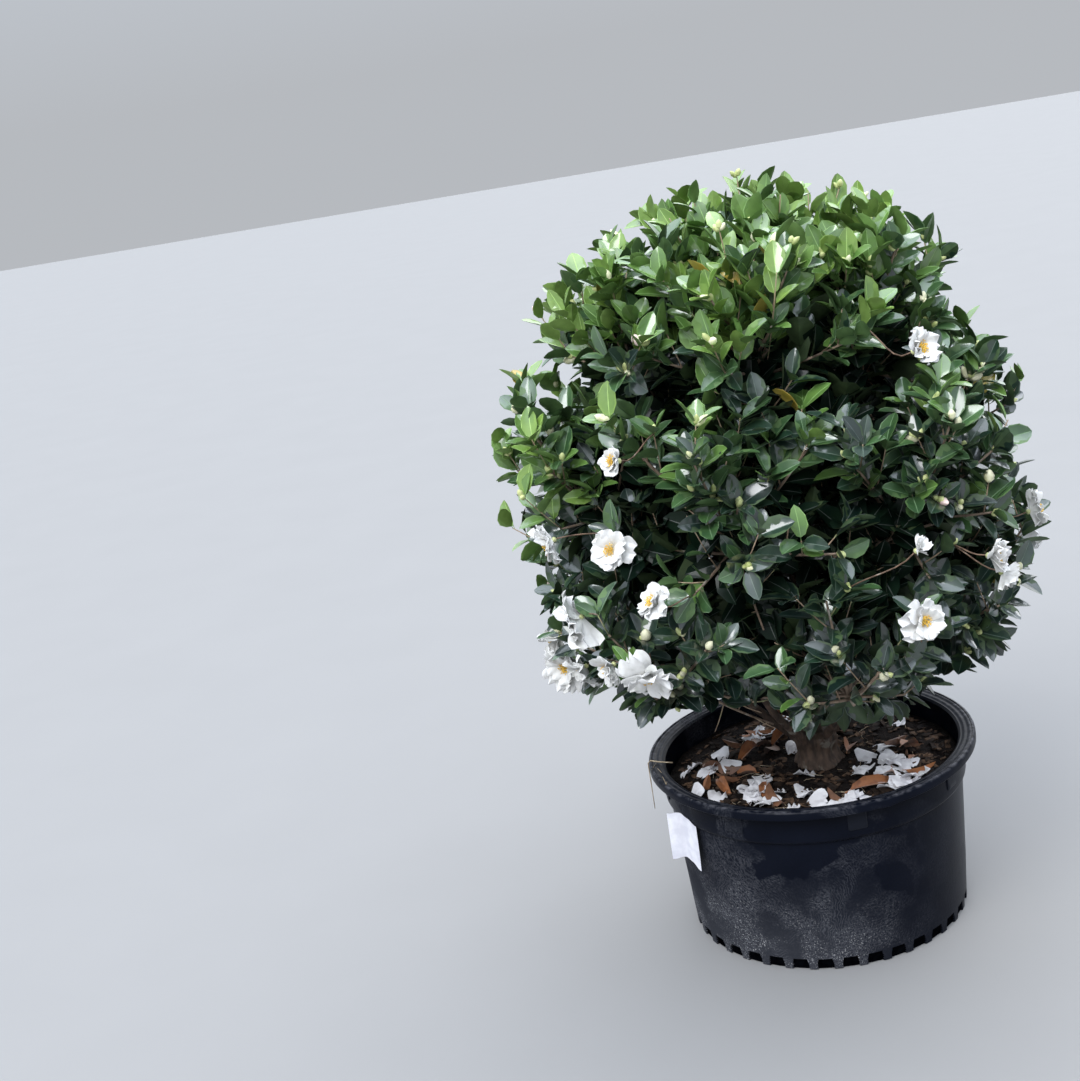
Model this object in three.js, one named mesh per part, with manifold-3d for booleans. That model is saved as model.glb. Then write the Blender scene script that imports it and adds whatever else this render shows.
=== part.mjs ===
// A camellia shrub with white blossom, grown on several stems in a squat black nursery pot.
// Sizes are millimetres with +Z up. The origin is the middle of the pot's flat underside,
// and the shrub's front faces -Y. Azimuths are degrees from +X towards +Y.
import * as THREE from "three";
import { mergeVertices } from "three/addons/utils/BufferGeometryUtils.js";
import Module from "manifold-3d";

const wasm = await Module();
wasm.setup();

const CLEARANCE = 0.3; // gap between neighbouring pieces
const GOLDEN_ANGLE = Math.PI * (3 - Math.sqrt(5));
const SWEEP_PULL = 0.38; // how far a limb's curve holds its first direction, as a share of its span
const UP = new THREE.Vector3(0, 0, 1);

// Pot: a thin tapered wall, a wider band under the rim, and a flat flange with a rolled lip
const POT_HEIGHT = 340;
const RIM_RADIUS = 310;
const RIM_LIP_HEIGHT = 17;
const RIM_FLANGE_WIDTH = 30;
const BAND_HEIGHT = 60;
const BAND_STEP = 7;
const BAND_CHAMFER = 3; // height of the sloping step at the band's foot
const BAND_TAPER = 1;
const BASE_RADIUS = 262;
const POT_WALL = 3.5;
const POT_FLOOR = 5;
const POT_SIDES = 36;
const PAD_COUNT = 8;
const PAD = { width: 32, height: 40, depth: 8, proud: 2.5, firstAzimuth: 238 };
const NOTCH_COUNT = 36;
const NOTCH = { width: 30, height: 20, reach: 14 };
const BAND_RADIUS = RIM_RADIUS - RIM_FLANGE_WIDTH + 6;
const BAND_TOP = POT_HEIGHT - RIM_LIP_HEIGHT;
const BAND_FOOT = BAND_TOP - BAND_HEIGHT;

// Potting mix: fills the pot to a little under the rim, with a slight mound at the stems
const SOIL_DEPTH_BELOW_RIM = 50;
const SOIL_MOUND = 6;
const SOIL_CROWN_RADIUS = 62;
const SOIL_SIDES = 36;
const SOIL_EDGE_TOP = POT_HEIGHT - SOIL_DEPTH_BELOW_RIM;
const SOIL_TOP = SOIL_EDGE_TOP + SOIL_MOUND;

// Label: a blank card tag at the pot's left. Its right panel lies on a flat of the band, and its
// left panel is folded out, more so towards its foot
const TAG = { panel: 46, flap: 29, height: 92, thickness: 0.8, azimuth: 215, belowBandTop: 42 };
const FLAP_ANGLE = { atTop: 48, atFoot: 66 };

// Trunk: a short gnarled crown that flares at the mix and swells again where the stems leave it
const TRUNK_AT = new THREE.Vector3(14, -6, SOIL_TOP + CLEARANCE);
const TRUNK_HEIGHT = 66;
const TRUNK = { flare: 47, neck: 33, head: 41, shoulder: 9, sides: 10, steps: 4, lean: -5 };
const STEM_SUNK = 14; // how far below the trunk's top the stems' roots would reach, before they are cut
const TRUNK_TOP = TRUNK_AT.clone().add(new THREE.Vector3(TRUNK.lean, 0, TRUNK_HEIGHT));

// Stems: an outer ring that fans out low, and inner ones that climb through the middle
const OUTER_STEMS = {
  count: 6,
  firstNumber: 1,
  firstAzimuth: 183,
  seat: 29,
  spread: 1.05,
  forkRadius: 150,
  forkHeight: 505,
  from: 9,
  to: 6.5,
};
const INNER_STEMS = {
  count: 3,
  firstNumber: 7,
  firstAzimuth: 200,
  seat: 11,
  spread: 0.22,
  forkRadius: 78,
  forkHeight: 800,
  from: 8,
  to: 6,
};
const FORK_UNEVENNESS = 22; // how far the forks stand above and below their ring's height
const FORK_ARRIVAL = { spread: 0.45, turn: 12 }; // how much a stem leans at its fork, and turns aside
const STEM_MESH = { sides: 6, steps: 4 };
const BOUGH_MESH = { sides: 5, steps: 3 };
const SHANK_MESH = { sides: 4, steps: 2 };
const TWIG_MESH = { sides: 3, steps: 1 };
const BOUGH_RADII = { from: 5.5, to: 4 };
const SHANK_RADII = { from: 3.8, to: 2.2 }; // the stem inside each mass of foliage

// Crown: a rounded outline, fuller below its widest height than above it
const CROWN = { x: -15, halfWidth: 505, halfDepth: 475, middle: 890, top: 1425, foot: 362 };
const CROWN_POWER = { above: 2.1, below: 2.8 };
const MASS_GAP = 5; // between one mass's space and the next

// Masses of foliage: tiers of them round the crown, each at the end of its own bough
const TIERS = {
  low: { radius: 310, height: 565, turn: -16, unevenness: 26 },
  middle: { radius: 310, height: 845, turn: 15, unevenness: 26 },
  upper: { count: 5, radius: 210, height: 1105, unevenness: 16 },
  top: { azimuth: 40, radius: 25, height: 1205 },
};
const OUTWARD_FROM = new THREE.Vector3(CROWN.x, 0, 650); // masses grow away from this point
const BOUGH_SHARE = 0.62; // how far along the way to its mass's middle a bough ends
const CORE = { radius: 80, flatness: 0.85, jitter: 0.14, least: 0.75 };
const SHANK_BEYOND_CORE = 24; // how far a mass's stem runs on past the middle of its core
const SHANK_SUNK = 6; // how far back in its bough a mass's stem would start, before it is cut
const BOUGH_SUNK = 3; // how far back in its stem a bough would start, before it is cut

// Twigs and leaves, larger than life because they are fewer
const TWIG = { count: 15, longest: 210, from: 4.2, to: 3.2, lowest: -0.5, highest: 0.95, lift: 0.2 };
const LEAF = { length: 122, width: 70, thickness: 5, droop: 13, sink: 1.8, endSink: 9 };
const LEAF_SPACING = 30;
const LEAF_FROM_TIP = 8; // from a twig's end back to its first leaf
const LEAF_TURN = 2.4; // radians round the twig from each leaf to the next
const LEAF_LEAST_SHOWING = 0.5; // share of a leaf's length that has to stand out of the core
const LEAF_SIZES = [1, 0.84, 0.68]; // the sizes tried for each leaf, of the full length
const CURLED_LEAF_SHARE = 0.18;

// Blossom: loose white flowers of five broad petals, most of them low on the crown
const BLOSSOM = { radius: 44, notchRadius: 32, petals: 5, depth: 18, heart: 7, inset: 46 };
const FRONT_BLOSSOMS = [
  { azimuth: -141, height: 887 },
  { azimuth: -122, height: 870 },
  { azimuth: -137, height: 745 },
  { azimuth: -112, height: 662 },
  { azimuth: -64, height: 700 },
  { azimuth: -42, height: 765 },
];
const BACK_BLOSSOMS = { count: 7, firstAzimuth: -8, span: 236, low: 640, high: 900 };

// Seeded random numbers from 0 to 1
function seeded(seed) {
  let state = seed >>> 0;
  return () => {
    state = (state + 0x6d2b79f5) >>> 0;
    let mixed = Math.imul(state ^ (state >>> 15), state | 1);
    mixed ^= mixed + Math.imul(mixed ^ (mixed >>> 7), mixed | 61);
    return ((mixed ^ (mixed >>> 14)) >>> 0) / 4294967296;
  };
}

// A point at a radius, an azimuth in degrees and a height
function polar(radius, azimuth, height) {
  const angle = THREE.MathUtils.degToRad(azimuth);
  return new THREE.Vector3(radius * Math.cos(angle), radius * Math.sin(angle), height);
}

// A closed three.js geometry as a solid
function solidOf(geometry) {
  const bare = geometry.index ? geometry.toNonIndexed() : geometry.clone();
  bare.deleteAttribute("normal");
  bare.deleteAttribute("uv");
  const merged = mergeVertices(bare, 1e-4);
  const corners = Array.from(merged.index.array);
  const kept = [];
  for (let i = 0; i < corners.length; i += 3) {
    const [a, b, c] = corners.slice(i, i + 3);
    if (a !== b && b !== c && c !== a) kept.push(a, b, c);
  }
  const vertProperties = merged.attributes.position.array;
  return new wasm.Manifold(new wasm.Mesh({ numProp: 3, vertProperties, triVerts: new Uint32Array(kept) }));
}

// A solid as a three.js geometry
function geometryOf(solid) {
  const mesh = solid.getMesh();
  const flat = new THREE.BufferGeometry();
  flat.setAttribute("position", new THREE.BufferAttribute(mesh.vertProperties, 3));
  flat.setIndex(new THREE.BufferAttribute(mesh.triVerts, 1));
  const faceted = flat.toNonIndexed();
  faceted.computeVertexNormals();
  return faceted;
}

// The one largest body of a solid, without loose scraps or sealed hollows
function largestBody(solid) {
  const bodies = solid.decompose();
  return bodies.reduce((best, body) => (body.volume() > best.volume() ? body : best));
}

function overlaps(one, other) {
  return !one.intersect(other).isEmpty();
}

function joined(solids) {
  return wasm.Manifold.union(solids);
}

// Turns a lathe profile of [radius, height] pairs about Z
function turned(profile, sides) {
  const points = profile.map(([radius, height]) => new THREE.Vector2(radius, height));
  return solidOf(new THREE.LatheGeometry(points, sides).rotateX(Math.PI / 2));
}

// A box on the pot's side at an azimuth, its middle at a radius and a height
function boxOnPot(depth, width, height, radius, azimuth, middle) {
  const box = new THREE.BoxGeometry(depth, width, height);
  box.translate(radius, 0, middle);
  return solidOf(box.rotateZ(THREE.MathUtils.degToRad(azimuth)));
}

// Radius of the pot's outer wall below the band
function wallRadius(height) {
  const top = BAND_RADIUS - BAND_STEP;
  return THREE.MathUtils.lerp(BASE_RADIUS, top, height / BAND_FOOT);
}

function makePot() {
  const flangeInner = RIM_RADIUS - RIM_FLANGE_WIDTH;
  const shell = turned(
    [
      [0, 0],
      [BASE_RADIUS, 0],
      [wallRadius(BAND_FOOT), BAND_FOOT],
      [BAND_RADIUS - BAND_TAPER, BAND_FOOT + BAND_CHAMFER],
      [BAND_RADIUS, BAND_TOP],
      [RIM_RADIUS, BAND_TOP],
      [RIM_RADIUS, POT_HEIGHT - 5],
      [RIM_RADIUS - 5, POT_HEIGHT],
      [flangeInner, POT_HEIGHT - 5],
      [BAND_RADIUS - POT_WALL - 3, BAND_TOP - 6],
      [wallRadius(BAND_FOOT) - POT_WALL, BAND_FOOT],
      [wallRadius(POT_FLOOR) - POT_WALL, POT_FLOOR],
      [0, POT_FLOOR],
    ],
    POT_SIDES,
  );
  const padMiddle = BAND_TOP - PAD.height / 2 + 0.5;
  const padRadius = BAND_RADIUS + PAD.proud - PAD.depth / 2;
  const pads = Array.from({ length: PAD_COUNT }, (_, i) => {
    const azimuth = PAD.firstAzimuth + (i * 360) / PAD_COUNT;
    return boxOnPot(PAD.depth, PAD.width, PAD.height, padRadius, azimuth, padMiddle);
  });
  const notches = Array.from({ length: NOTCH_COUNT }, (_, i) => {
    const azimuth = ((i + 0.5) * 360) / NOTCH_COUNT;
    const radius = BASE_RADIUS + 4 - NOTCH.reach / 2;
    return boxOnPot(NOTCH.reach, NOTCH.width, 2 * NOTCH.height, radius, azimuth, 0);
  });
  return largestBody(joined([shell, ...pads]).subtract(joined(notches)));
}

// The mix keeps clear of the pot's wall and floor, and of the drain notches in the corner
function makeSoil() {
  const gap = POT_WALL + CLEARANCE + 0.9;
  const cornerRadius = BASE_RADIUS + 4 - NOTCH.reach - 1.5;
  const cornerHeight = NOTCH.height + 1;
  return turned(
    [
      [0, POT_FLOOR + CLEARANCE],
      [cornerRadius, POT_FLOOR + CLEARANCE],
      [wallRadius(cornerHeight) - gap, cornerHeight],
      [wallRadius(BAND_FOOT) - gap, BAND_FOOT],
      [wallRadius(BAND_FOOT) - gap + 2, SOIL_EDGE_TOP],
      [SOIL_CROWN_RADIUS, SOIL_TOP],
      [0, SOIL_TOP],
    ],
    SOIL_SIDES,
  );
}

function makeTag() {
  const width = TAG.panel + TAG.flap;
  const card = new THREE.BoxGeometry(TAG.thickness, width, TAG.height, 1, 4, 2);
  const position = card.attributes.position;
  const foldAt = -TAG.panel / 2;
  for (let i = 0; i < position.count; i++) {
    const fromFold = position.getY(i) + width / 2 - TAG.flap;
    const fromTop = 0.5 - position.getZ(i) / TAG.height;
    const degrees = THREE.MathUtils.lerp(FLAP_ANGLE.atTop, FLAP_ANGLE.atFoot, fromTop);
    const angle = fromFold < 0 ? THREE.MathUtils.degToRad(degrees) : 0;
    const depth = position.getX(i);
    position.setX(i, depth * Math.cos(angle) - fromFold * Math.sin(angle));
    position.setY(i, foldAt + fromFold * Math.cos(angle) + depth * Math.sin(angle));
  }
  const taper = (BAND_TAPER * TAG.belowBandTop) / (BAND_HEIGHT - BAND_CHAMFER);
  const bandFlat = (BAND_RADIUS - taper) * Math.cos(Math.PI / POT_SIDES);
  const middle = BAND_TOP - TAG.belowBandTop - TAG.height / 2;
  card.translate(bandFlat + CLEARANCE + TAG.thickness / 2, 0, middle);
  return solidOf(card.rotateZ(THREE.MathUtils.degToRad(TAG.azimuth)));
}

// A round limb along a curve, tapering from one radius to another; grow swells it all over
function limbSolid(curve, radii, { sides, steps }, grow = 0) {
  const tube = new THREE.CylinderGeometry(radii.to + grow, radii.from + grow, 1, sides, steps);
  const frames = curve.computeFrenetFrames(steps, false);
  const position = tube.attributes.position;
  for (let i = 0; i < position.count; i++) {
    const step = Math.round((position.getY(i) + 0.5) * steps);
    const point = curve.getPointAt(step / steps);
    if (step === 0) point.addScaledVector(frames.tangents[0], -grow);
    if (step === steps) point.addScaledVector(frames.tangents[steps], grow);
    point.addScaledVector(frames.normals[step], position.getX(i));
    point.addScaledVector(frames.binormals[step], -position.getZ(i));
    position.setXYZ(i, point.x, point.y, point.z);
  }
  return solidOf(tube);
}

// A curve that leaves one point in one direction and reaches another in a second direction
function sweep(start, leaving, end, arriving) {
  const pull = start.distanceTo(end) * SWEEP_PULL;
  return new THREE.CubicBezierCurve3(
    start,
    start.clone().addScaledVector(leaving.clone().normalize(), pull),
    end.clone().addScaledVector(arriving.clone().normalize(), -pull),
    end,
  );
}

// Trunk radius at a share of its height: flare, neck, then the swollen head
function trunkRadius(share) {
  const flare = (TRUNK.flare - TRUNK.neck) * (1 - share) ** 3;
  const head = (TRUNK.head - TRUNK.neck) * THREE.MathUtils.smoothstep(share, 0.35, 0.85);
  return TRUNK.neck + flare + head - TRUNK.shoulder * THREE.MathUtils.smoothstep(share, 0.85, 1);
}

function trunkSolid(grow = 0) {
  const trunk = new THREE.CylinderGeometry(1, 1, 1, TRUNK.sides, TRUNK.steps).rotateX(Math.PI / 2);
  const position = trunk.attributes.position;
  for (let i = 0; i < position.count; i++) {
    const share = position.getZ(i) + 0.5;
    const angle = Math.atan2(position.getY(i), position.getX(i));
    const knobs = 1 + 0.06 * Math.sin(3 * angle + 4 * share) + 0.05 * Math.sin(5 * angle + 1);
    const radius = Math.hypot(position.getX(i), position.getY(i)) * (trunkRadius(share) * knobs + grow);
    position.setXYZ(
      i,
      TRUNK_AT.x + TRUNK.lean * share + radius * Math.cos(angle),
      TRUNK_AT.y + radius * Math.sin(angle),
      TRUNK_AT.z + TRUNK_HEIGHT * share + (share > 0.5 ? grow : 0),
    );
  }
  return solidOf(trunk);
}

// Limbs are kept here with their swollen twins, which cut whatever is fitted against them
const limbs = [];

function addLimb(name, curve, radii, mesh, parent) {
  let solid = limbSolid(curve, radii, mesh);
  for (const other of [parent, ...limbs]) {
    if (overlaps(solid, other.swollen)) solid = largestBody(solid.subtract(other.swollen));
  }
  const limb = { name, curve, solid, swollen: limbSolid(curve, radii, mesh, CLEARANCE) };
  limbs.push(limb);
  return limb;
}

// Stems leave the trunk's head round a ring, and lean out to their forks
function addStems(trunk, ring) {
  return Array.from({ length: ring.count }, (_, i) => {
    const azimuth = ring.firstAzimuth + (i * 360) / ring.count;
    const seat = TRUNK_TOP.clone().add(polar(ring.seat, azimuth, -STEM_SUNK));
    const height = ring.forkHeight + FORK_UNEVENNESS * Math.sin(2.4 * i + 0.5);
    const fork = polar(ring.forkRadius, azimuth, height);
    fork.x += CROWN.x / 2;
    const leaving = polar(ring.spread, azimuth, 1);
    const arriving = polar(ring.spread * FORK_ARRIVAL.spread, azimuth + FORK_ARRIVAL.turn, 1);
    const curve = sweep(seat, leaving, fork, arriving);
    const stem = addLimb(`stem_${ring.firstNumber + i}`, curve, ring, STEM_MESH, trunk);
    return { ...stem, azimuth, fork, heading: arriving.normalize() };
  });
}

// The middles of the masses, each with the stem that its bough forks from
function placeMasses(outer, inner) {
  const masses = [];
  const place = (tier, stem, azimuth, radius, height) => {
    const number = String(masses.length + 1).padStart(2, "0");
    const middle = polar(radius, azimuth, height);
    middle.x += CROWN.x;
    const outward = middle.clone().sub(OUTWARD_FROM).normalize();
    masses.push({ name: `foliage_${number}`, bough: `bough_${number}`, tier, stem, middle, outward });
  };
  for (const tier of ["low", "middle"]) {
    outer.forEach((stem, i) => {
      const { radius, height, turn, unevenness } = TIERS[tier];
      place(tier, stem, stem.azimuth + turn, radius, height + unevenness * Math.sin(1.9 * i + 1));
    });
  }
  const { count, radius, height, unevenness } = TIERS.upper;
  for (let i = 0; i < count; i++) {
    const stem = inner[Math.floor((i * inner.length) / count + 0.3) % inner.length];
    const azimuth = INNER_STEMS.firstAzimuth + (i * 360) / count;
    place("upper", stem, azimuth, radius, height + unevenness * (i % 2));
  }
  place("top", inner[inner.length - 1], TIERS.top.azimuth, TIERS.top.radius, TIERS.top.height);
  return masses;
}

// Whether a point is inside the crown's outline
function insideCrown(point) {
  const rise = point.z - CROWN.middle;
  const power = rise > 0 ? CROWN_POWER.above : CROWN_POWER.below;
  const height = rise > 0 ? CROWN.top - CROWN.middle : CROWN.middle - CROWN.foot;
  const across = Math.hypot((point.x - CROWN.x) / CROWN.halfWidth, point.y / CROWN.halfDepth);
  return across ** power + (Math.abs(rise) / height) ** power < 1;
}

// Whether a point is in a mass's own space: inside the crown, and nearest to that mass
function inSpace(point, mass, masses) {
  if (!insideCrown(point)) return false;
  return masses.every((other) => {
    if (other === mass) return true;
    const apart = other.middle.clone().sub(mass.middle);
    const halfway = mass.middle.clone().addScaledVector(apart, 0.5);
    return point.clone().sub(halfway).dot(apart.normalize()) < -MASS_GAP / 2;
  });
}

// How far a mass's space reaches from a point in a direction
function reachOf(start, direction, mass, masses) {
  const pace = 8;
  let distance = 0;
  while (inSpace(start.clone().addScaledVector(direction, distance + pace), mass, masses)) distance += pace;
  return distance;
}

// A leaf is a thin blade of four faces, keeled below, its foot at the origin, its tip along +X
// and its face up
function leafGeometry(size, curl) {
  const length = LEAF.length * size;
  const halfWidth = (LEAF.width * size) / 2;
  const widest = 0.46 * length;
  const foot = new THREE.Vector3(0, 0, 0);
  const tip = new THREE.Vector3(length, 0, -LEAF.droop * curl);
  const left = new THREE.Vector3(widest, halfWidth, LEAF.thickness);
  const right = new THREE.Vector3(widest, -halfWidth, LEAF.thickness);
  const faces = [foot, right, left, tip, left, right, foot, left, tip, foot, tip, right];
  return new THREE.BufferGeometry().setFromPoints(faces);
}

// Places a geometry that lies along +X, face up, at a point, along a direction and facing another
function placed(geometry, point, along, facing) {
  const x = along.clone().normalize();
  const y = facing.clone().cross(x).normalize();
  const z = x.clone().cross(y);
  return geometry.applyMatrix4(new THREE.Matrix4().makeBasis(x, y, z).setPosition(point));
}

function cornersOf(geometry) {
  const position = geometry.attributes.position;
  const corner = (_, i) => new THREE.Vector3().fromBufferAttribute(position, i);
  return Array.from({ length: position.count }, corner);
}

// A blossom is a shallow cup whose rim is notched between its petals, open along the way it faces
function blossomSolid(point, facing) {
  const profile = [
    new THREE.Vector2(0, 0),
    new THREE.Vector2(1, BLOSSOM.depth),
    new THREE.Vector2(0, BLOSSOM.heart),
  ];
  const cup = new THREE.LatheGeometry(profile, 2 * BLOSSOM.petals).rotateX(Math.PI / 2);
  const position = cup.attributes.position;
  for (let i = 0; i < position.count; i++) {
    const angle = Math.atan2(position.getY(i), position.getX(i));
    const isTip = Math.sin(BLOSSOM.petals * angle) > 0;
    const radius = isTip ? BLOSSOM.radius : BLOSSOM.notchRadius;
    position.setX(i, position.getX(i) * radius);
    position.setY(i, position.getY(i) * radius);
  }
  const turn = new THREE.Quaternion().setFromUnitVectors(UP, facing.clone().normalize());
  cup.applyQuaternion(turn).translate(point.x, point.y, point.z);
  return solidOf(cup);
}

// A twig is a slim three-sided rod
function twigSolid(start, end) {
  const line = new THREE.LineCurve3(start, end);
  return limbSolid(line, TWIG, TWIG_MESH);
}

// Leaves stand by turns round the part of a twig that shows, from its end backwards
function leafPlaces(start, end, showing) {
  const along = end.clone().sub(start).normalize();
  const side = along.clone().cross(UP).normalize();
  const over = side.clone().cross(along).normalize();
  const count = Math.max(0, Math.floor((showing - LEAF_FROM_TIP) / LEAF_SPACING) + 1);
  return Array.from({ length: count }, (_, i) => {
    const point = end.clone().addScaledVector(along, -LEAF_FROM_TIP - i * LEAF_SPACING);
    const turn = i * LEAF_TURN + 0.3;
    const out = side.clone().multiplyScalar(Math.cos(turn)).addScaledVector(over, 0.8 * Math.sin(turn));
    const direction = out.normalize().multiplyScalar(0.85).addScaledVector(along, 0.5).normalize();
    return { point, direction };
  });
}

// Leaves turn their faces up and away from the shrub's middle
function leafFacing(point) {
  const outward = new THREE.Vector3(point.x - CROWN.x, point.y, 0).normalize();
  return outward.addScaledVector(UP, 0.7).normalize();
}

// A small lumpy core in the middle of a mass, which the leaves stand out of
function coreSolid(mass, fixed, random) {
  const core = new THREE.IcosahedronGeometry(1, 0);
  const corners = mergeVertices(core.deleteAttribute("normal").deleteAttribute("uv"), 1e-4);
  const position = corners.attributes.position;
  for (let i = 0; i < position.count; i++) {
    const swell = 1 + CORE.jitter * (2 * random() - 1);
    position.setXYZ(
      i,
      position.getX(i) * swell,
      position.getY(i) * swell,
      position.getZ(i) * swell * CORE.flatness,
    );
  }
  for (let radius = CORE.radius; radius > 0; radius *= 0.9) {
    const { x, y, z } = mass.middle;
    const solid = solidOf(corners.clone().scale(radius, radius, radius).translate(x, y, z));
    if (!overlaps(solid, fixed)) return { solid, radius };
  }
}

// A mass is one stem with a core, twigs that leave it by a turning rule, and leaves on the twigs
function growMass(mass, masses, fixed, blossoms, number) {
  const random = seeded(1000 + number);
  const fits = (geometry) => cornersOf(geometry).every((corner) => inSpace(corner, mass, masses));
  const start = mass.limb.curve.getPointAt(1);
  const heading = mass.limb.curve.getTangentAt(1);
  const outward = mass.outward;
  const stemEnd = mass.middle.clone().addScaledVector(outward, SHANK_BEYOND_CORE);
  const shank = sweep(start.clone().addScaledVector(heading, -SHANK_SUNK), heading, stemEnd, outward);
  const pieces = [limbSolid(shank, SHANK_RADII, SHANK_MESH).subtract(fixed)];
  const core = coreSolid(mass, fixed, random);
  pieces.push(core.solid);

  // A leaf is taken at the largest size that stays in the mass's space, clear of limbs and leaves
  const leaves = [];
  const tryLeaf = (point, direction, sink) => {
    const curl = random() < CURLED_LEAF_SHARE ? -0.6 : 0.3 + random();
    const face = leafFacing(point).applyAxisAngle(direction, 0.8 * (random() - 0.5));
    const foot = point.clone().addScaledVector(direction, -sink);
    for (const size of LEAF_SIZES) {
      const leaf = placed(leafGeometry(size, curl), foot, direction, face);
      if (!fits(leaf)) continue;
      const solid = solidOf(leaf);
      if (overlaps(solid, fixed) || leaves.some((other) => overlaps(solid, other))) continue;
      leaves.push(solid);
      return;
    }
  };
  const addTwig = (from, to) => {
    const twig = twigSolid(from, to);
    if (overlaps(twig, fixed)) return;
    pieces.push(twig);
    const showing = to.distanceTo(mass.middle) - core.radius;
    for (const { point, direction } of leafPlaces(from, to, showing)) {
      tryLeaf(point, direction, LEAF.sink);
    }
  };

  for (const site of blossoms) {
    if (!inSpace(site.point, mass, masses)) continue;
    const blossom = blossomSolid(site.point, site.facing);
    if (overlaps(blossom, fixed)) continue;
    leaves.push(blossom);
    addTwig(mass.middle.clone(), site.point.clone().addScaledVector(site.facing, 2));
  }

  // Twigs turn round the stem as they climb it; where there is room only for a leaf, it has no twig
  for (let i = 0; i < TWIG.count; i++) {
    const step = i / (TWIG.count - 1);
    const from = shank.getPointAt(0.6 + 0.4 * step);
    const across = outward.clone().cross(UP).normalize();
    const lean = Math.acos(THREE.MathUtils.lerp(TWIG.lowest, TWIG.highest, step));
    const direction = outward.clone().applyAxisAngle(across, lean).applyAxisAngle(outward, i * GOLDEN_ANGLE);
    direction.addScaledVector(UP, TWIG.lift).normalize();
    const leafLength = LEAF.length * LEAF_SIZES[i % 2];
    const room = reachOf(from, direction, mass, masses) - 8;
    const length = Math.min(TWIG.longest, room - leafLength + LEAF.endSink);
    const end = from.clone().addScaledVector(direction, length);
    const tip = end.clone().addScaledVector(direction, leafLength);
    if (tip.distanceTo(mass.middle) - core.radius < LEAF_LEAST_SHOWING * leafLength) continue;
    tryLeaf(end, direction, LEAF.endSink);
    if (end.distanceTo(mass.middle) > CORE.least * core.radius) addTwig(from, end);
  }
  return largestBody(joined([...pieces, ...leaves]));
}

// Sites of the blossoms, set in from the crown's outline so that each stays in one mass's space
function blossomSites(masses) {
  const back = Array.from({ length: BACK_BLOSSOMS.count }, (_, i) => ({
    azimuth: BACK_BLOSSOMS.firstAzimuth + (i * BACK_BLOSSOMS.span) / (BACK_BLOSSOMS.count - 1),
    height: i % 2 ? BACK_BLOSSOMS.high - 22 * i : BACK_BLOSSOMS.low + 12 * i,
  }));
  return [...FRONT_BLOSSOMS, ...back].map(({ azimuth, height }) => {
    const outward = polar(1, azimuth, 0);
    const axis = new THREE.Vector3(CROWN.x, 0, height);
    let radius = 0;
    while (insideCrown(axis.clone().addScaledVector(outward, radius))) radius += 4;
    const point = axis.clone().addScaledVector(outward, radius - BLOSSOM.inset);
    const owner = masses.reduce((best, mass) =>
      mass.middle.distanceTo(point) < best.middle.distanceTo(point) ? mass : best,
    );
    // Drawn towards its mass's middle until the whole flower has room there
    while (!roomForBlossom(point, owner, masses)) point.lerp(owner.middle, 0.06);
    return { point, facing: outward.clone().addScaledVector(UP, 0.15).normalize() };
  });
}

function roomForBlossom(point, mass, masses) {
  return [0, 60, 120, 180, 240, 300].every((turn) =>
    [-0.7, 0, 0.7].every((rise) => {
      const rim = polar(BLOSSOM.radius, turn, BLOSSOM.radius * rise).add(point);
      return inSpace(rim, mass, masses);
    }),
  );
}

const BLACK_PLASTIC = { color: 0x17191d, roughness: 0.42, metalness: 0 };
const POTTING_MIX = { color: 0x2a1d15, roughness: 0.95, metalness: 0 };
const BARK = { color: 0x6b5141, roughness: 0.85, metalness: 0 };
const FOLIAGE = { color: 0x2d4a2b, roughness: 0.4, metalness: 0 };
const WHITE_CARD = { color: 0xe9e9ee, roughness: 0.6, metalness: 0 };

const shrub = new THREE.Group();

function addPiece(name, solid, looks) {
  const mesh = new THREE.Mesh(geometryOf(solid), new THREE.MeshStandardMaterial(looks));
  mesh.name = name;
  shrub.add(mesh);
}

const trunk = { name: "trunk", solid: trunkSolid(), swollen: trunkSolid(CLEARANCE) };
const outerStems = addStems(trunk, OUTER_STEMS);
const innerStems = addStems(trunk, INNER_STEMS);
const masses = placeMasses(outerStems, innerStems);

// Each bough forks from its stem's tip and ends where it enters its mass
for (const mass of masses) {
  const { fork, heading } = mass.stem;
  const way = mass.middle.clone().sub(fork);
  const end = fork.clone().addScaledVector(way, BOUGH_SHARE);
  const leaving = way.clone().normalize().addScaledVector(heading, 0.8);
  const arriving = way.clone().normalize().addScaledVector(UP, mass.tier === "low" ? 0.1 : 0.35);
  const curve = sweep(fork.clone().addScaledVector(heading, -BOUGH_SUNK), leaving, end, arriving);
  mass.limb = addLimb(mass.bough, curve, BOUGH_RADII, BOUGH_MESH, mass.stem);
}

const fixed = joined([trunk.swollen, ...limbs.map((limb) => limb.swollen)]);
const blossoms = blossomSites(masses);

addPiece("pot", makePot(), BLACK_PLASTIC);
addPiece("potting_mix", makeSoil(), POTTING_MIX);
addPiece("label_tag", makeTag(), WHITE_CARD);
addPiece(trunk.name, trunk.solid, BARK);
for (const limb of limbs) addPiece(limb.name, limb.solid, BARK);
masses.forEach((mass, i) => addPiece(mass.name, growMass(mass, masses, fixed, blossoms, i), FOLIAGE));

export default shrub;
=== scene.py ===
"""The looks of a camellia shrub with white blossom, in a squat black nursery pot.

Metres with +Z up. The origin is the middle of the pot's underside, the shrub's front faces -Y,
and azimuths are degrees from +X towards +Y. Stems, boughs and the spaces of the masses follow
the solids' rule and sizes, in a slightly narrower crown, and grow on here to twigs and leaves.
"""

import math

import bpy
import numpy as np
from mathutils import Matrix, Vector


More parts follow.
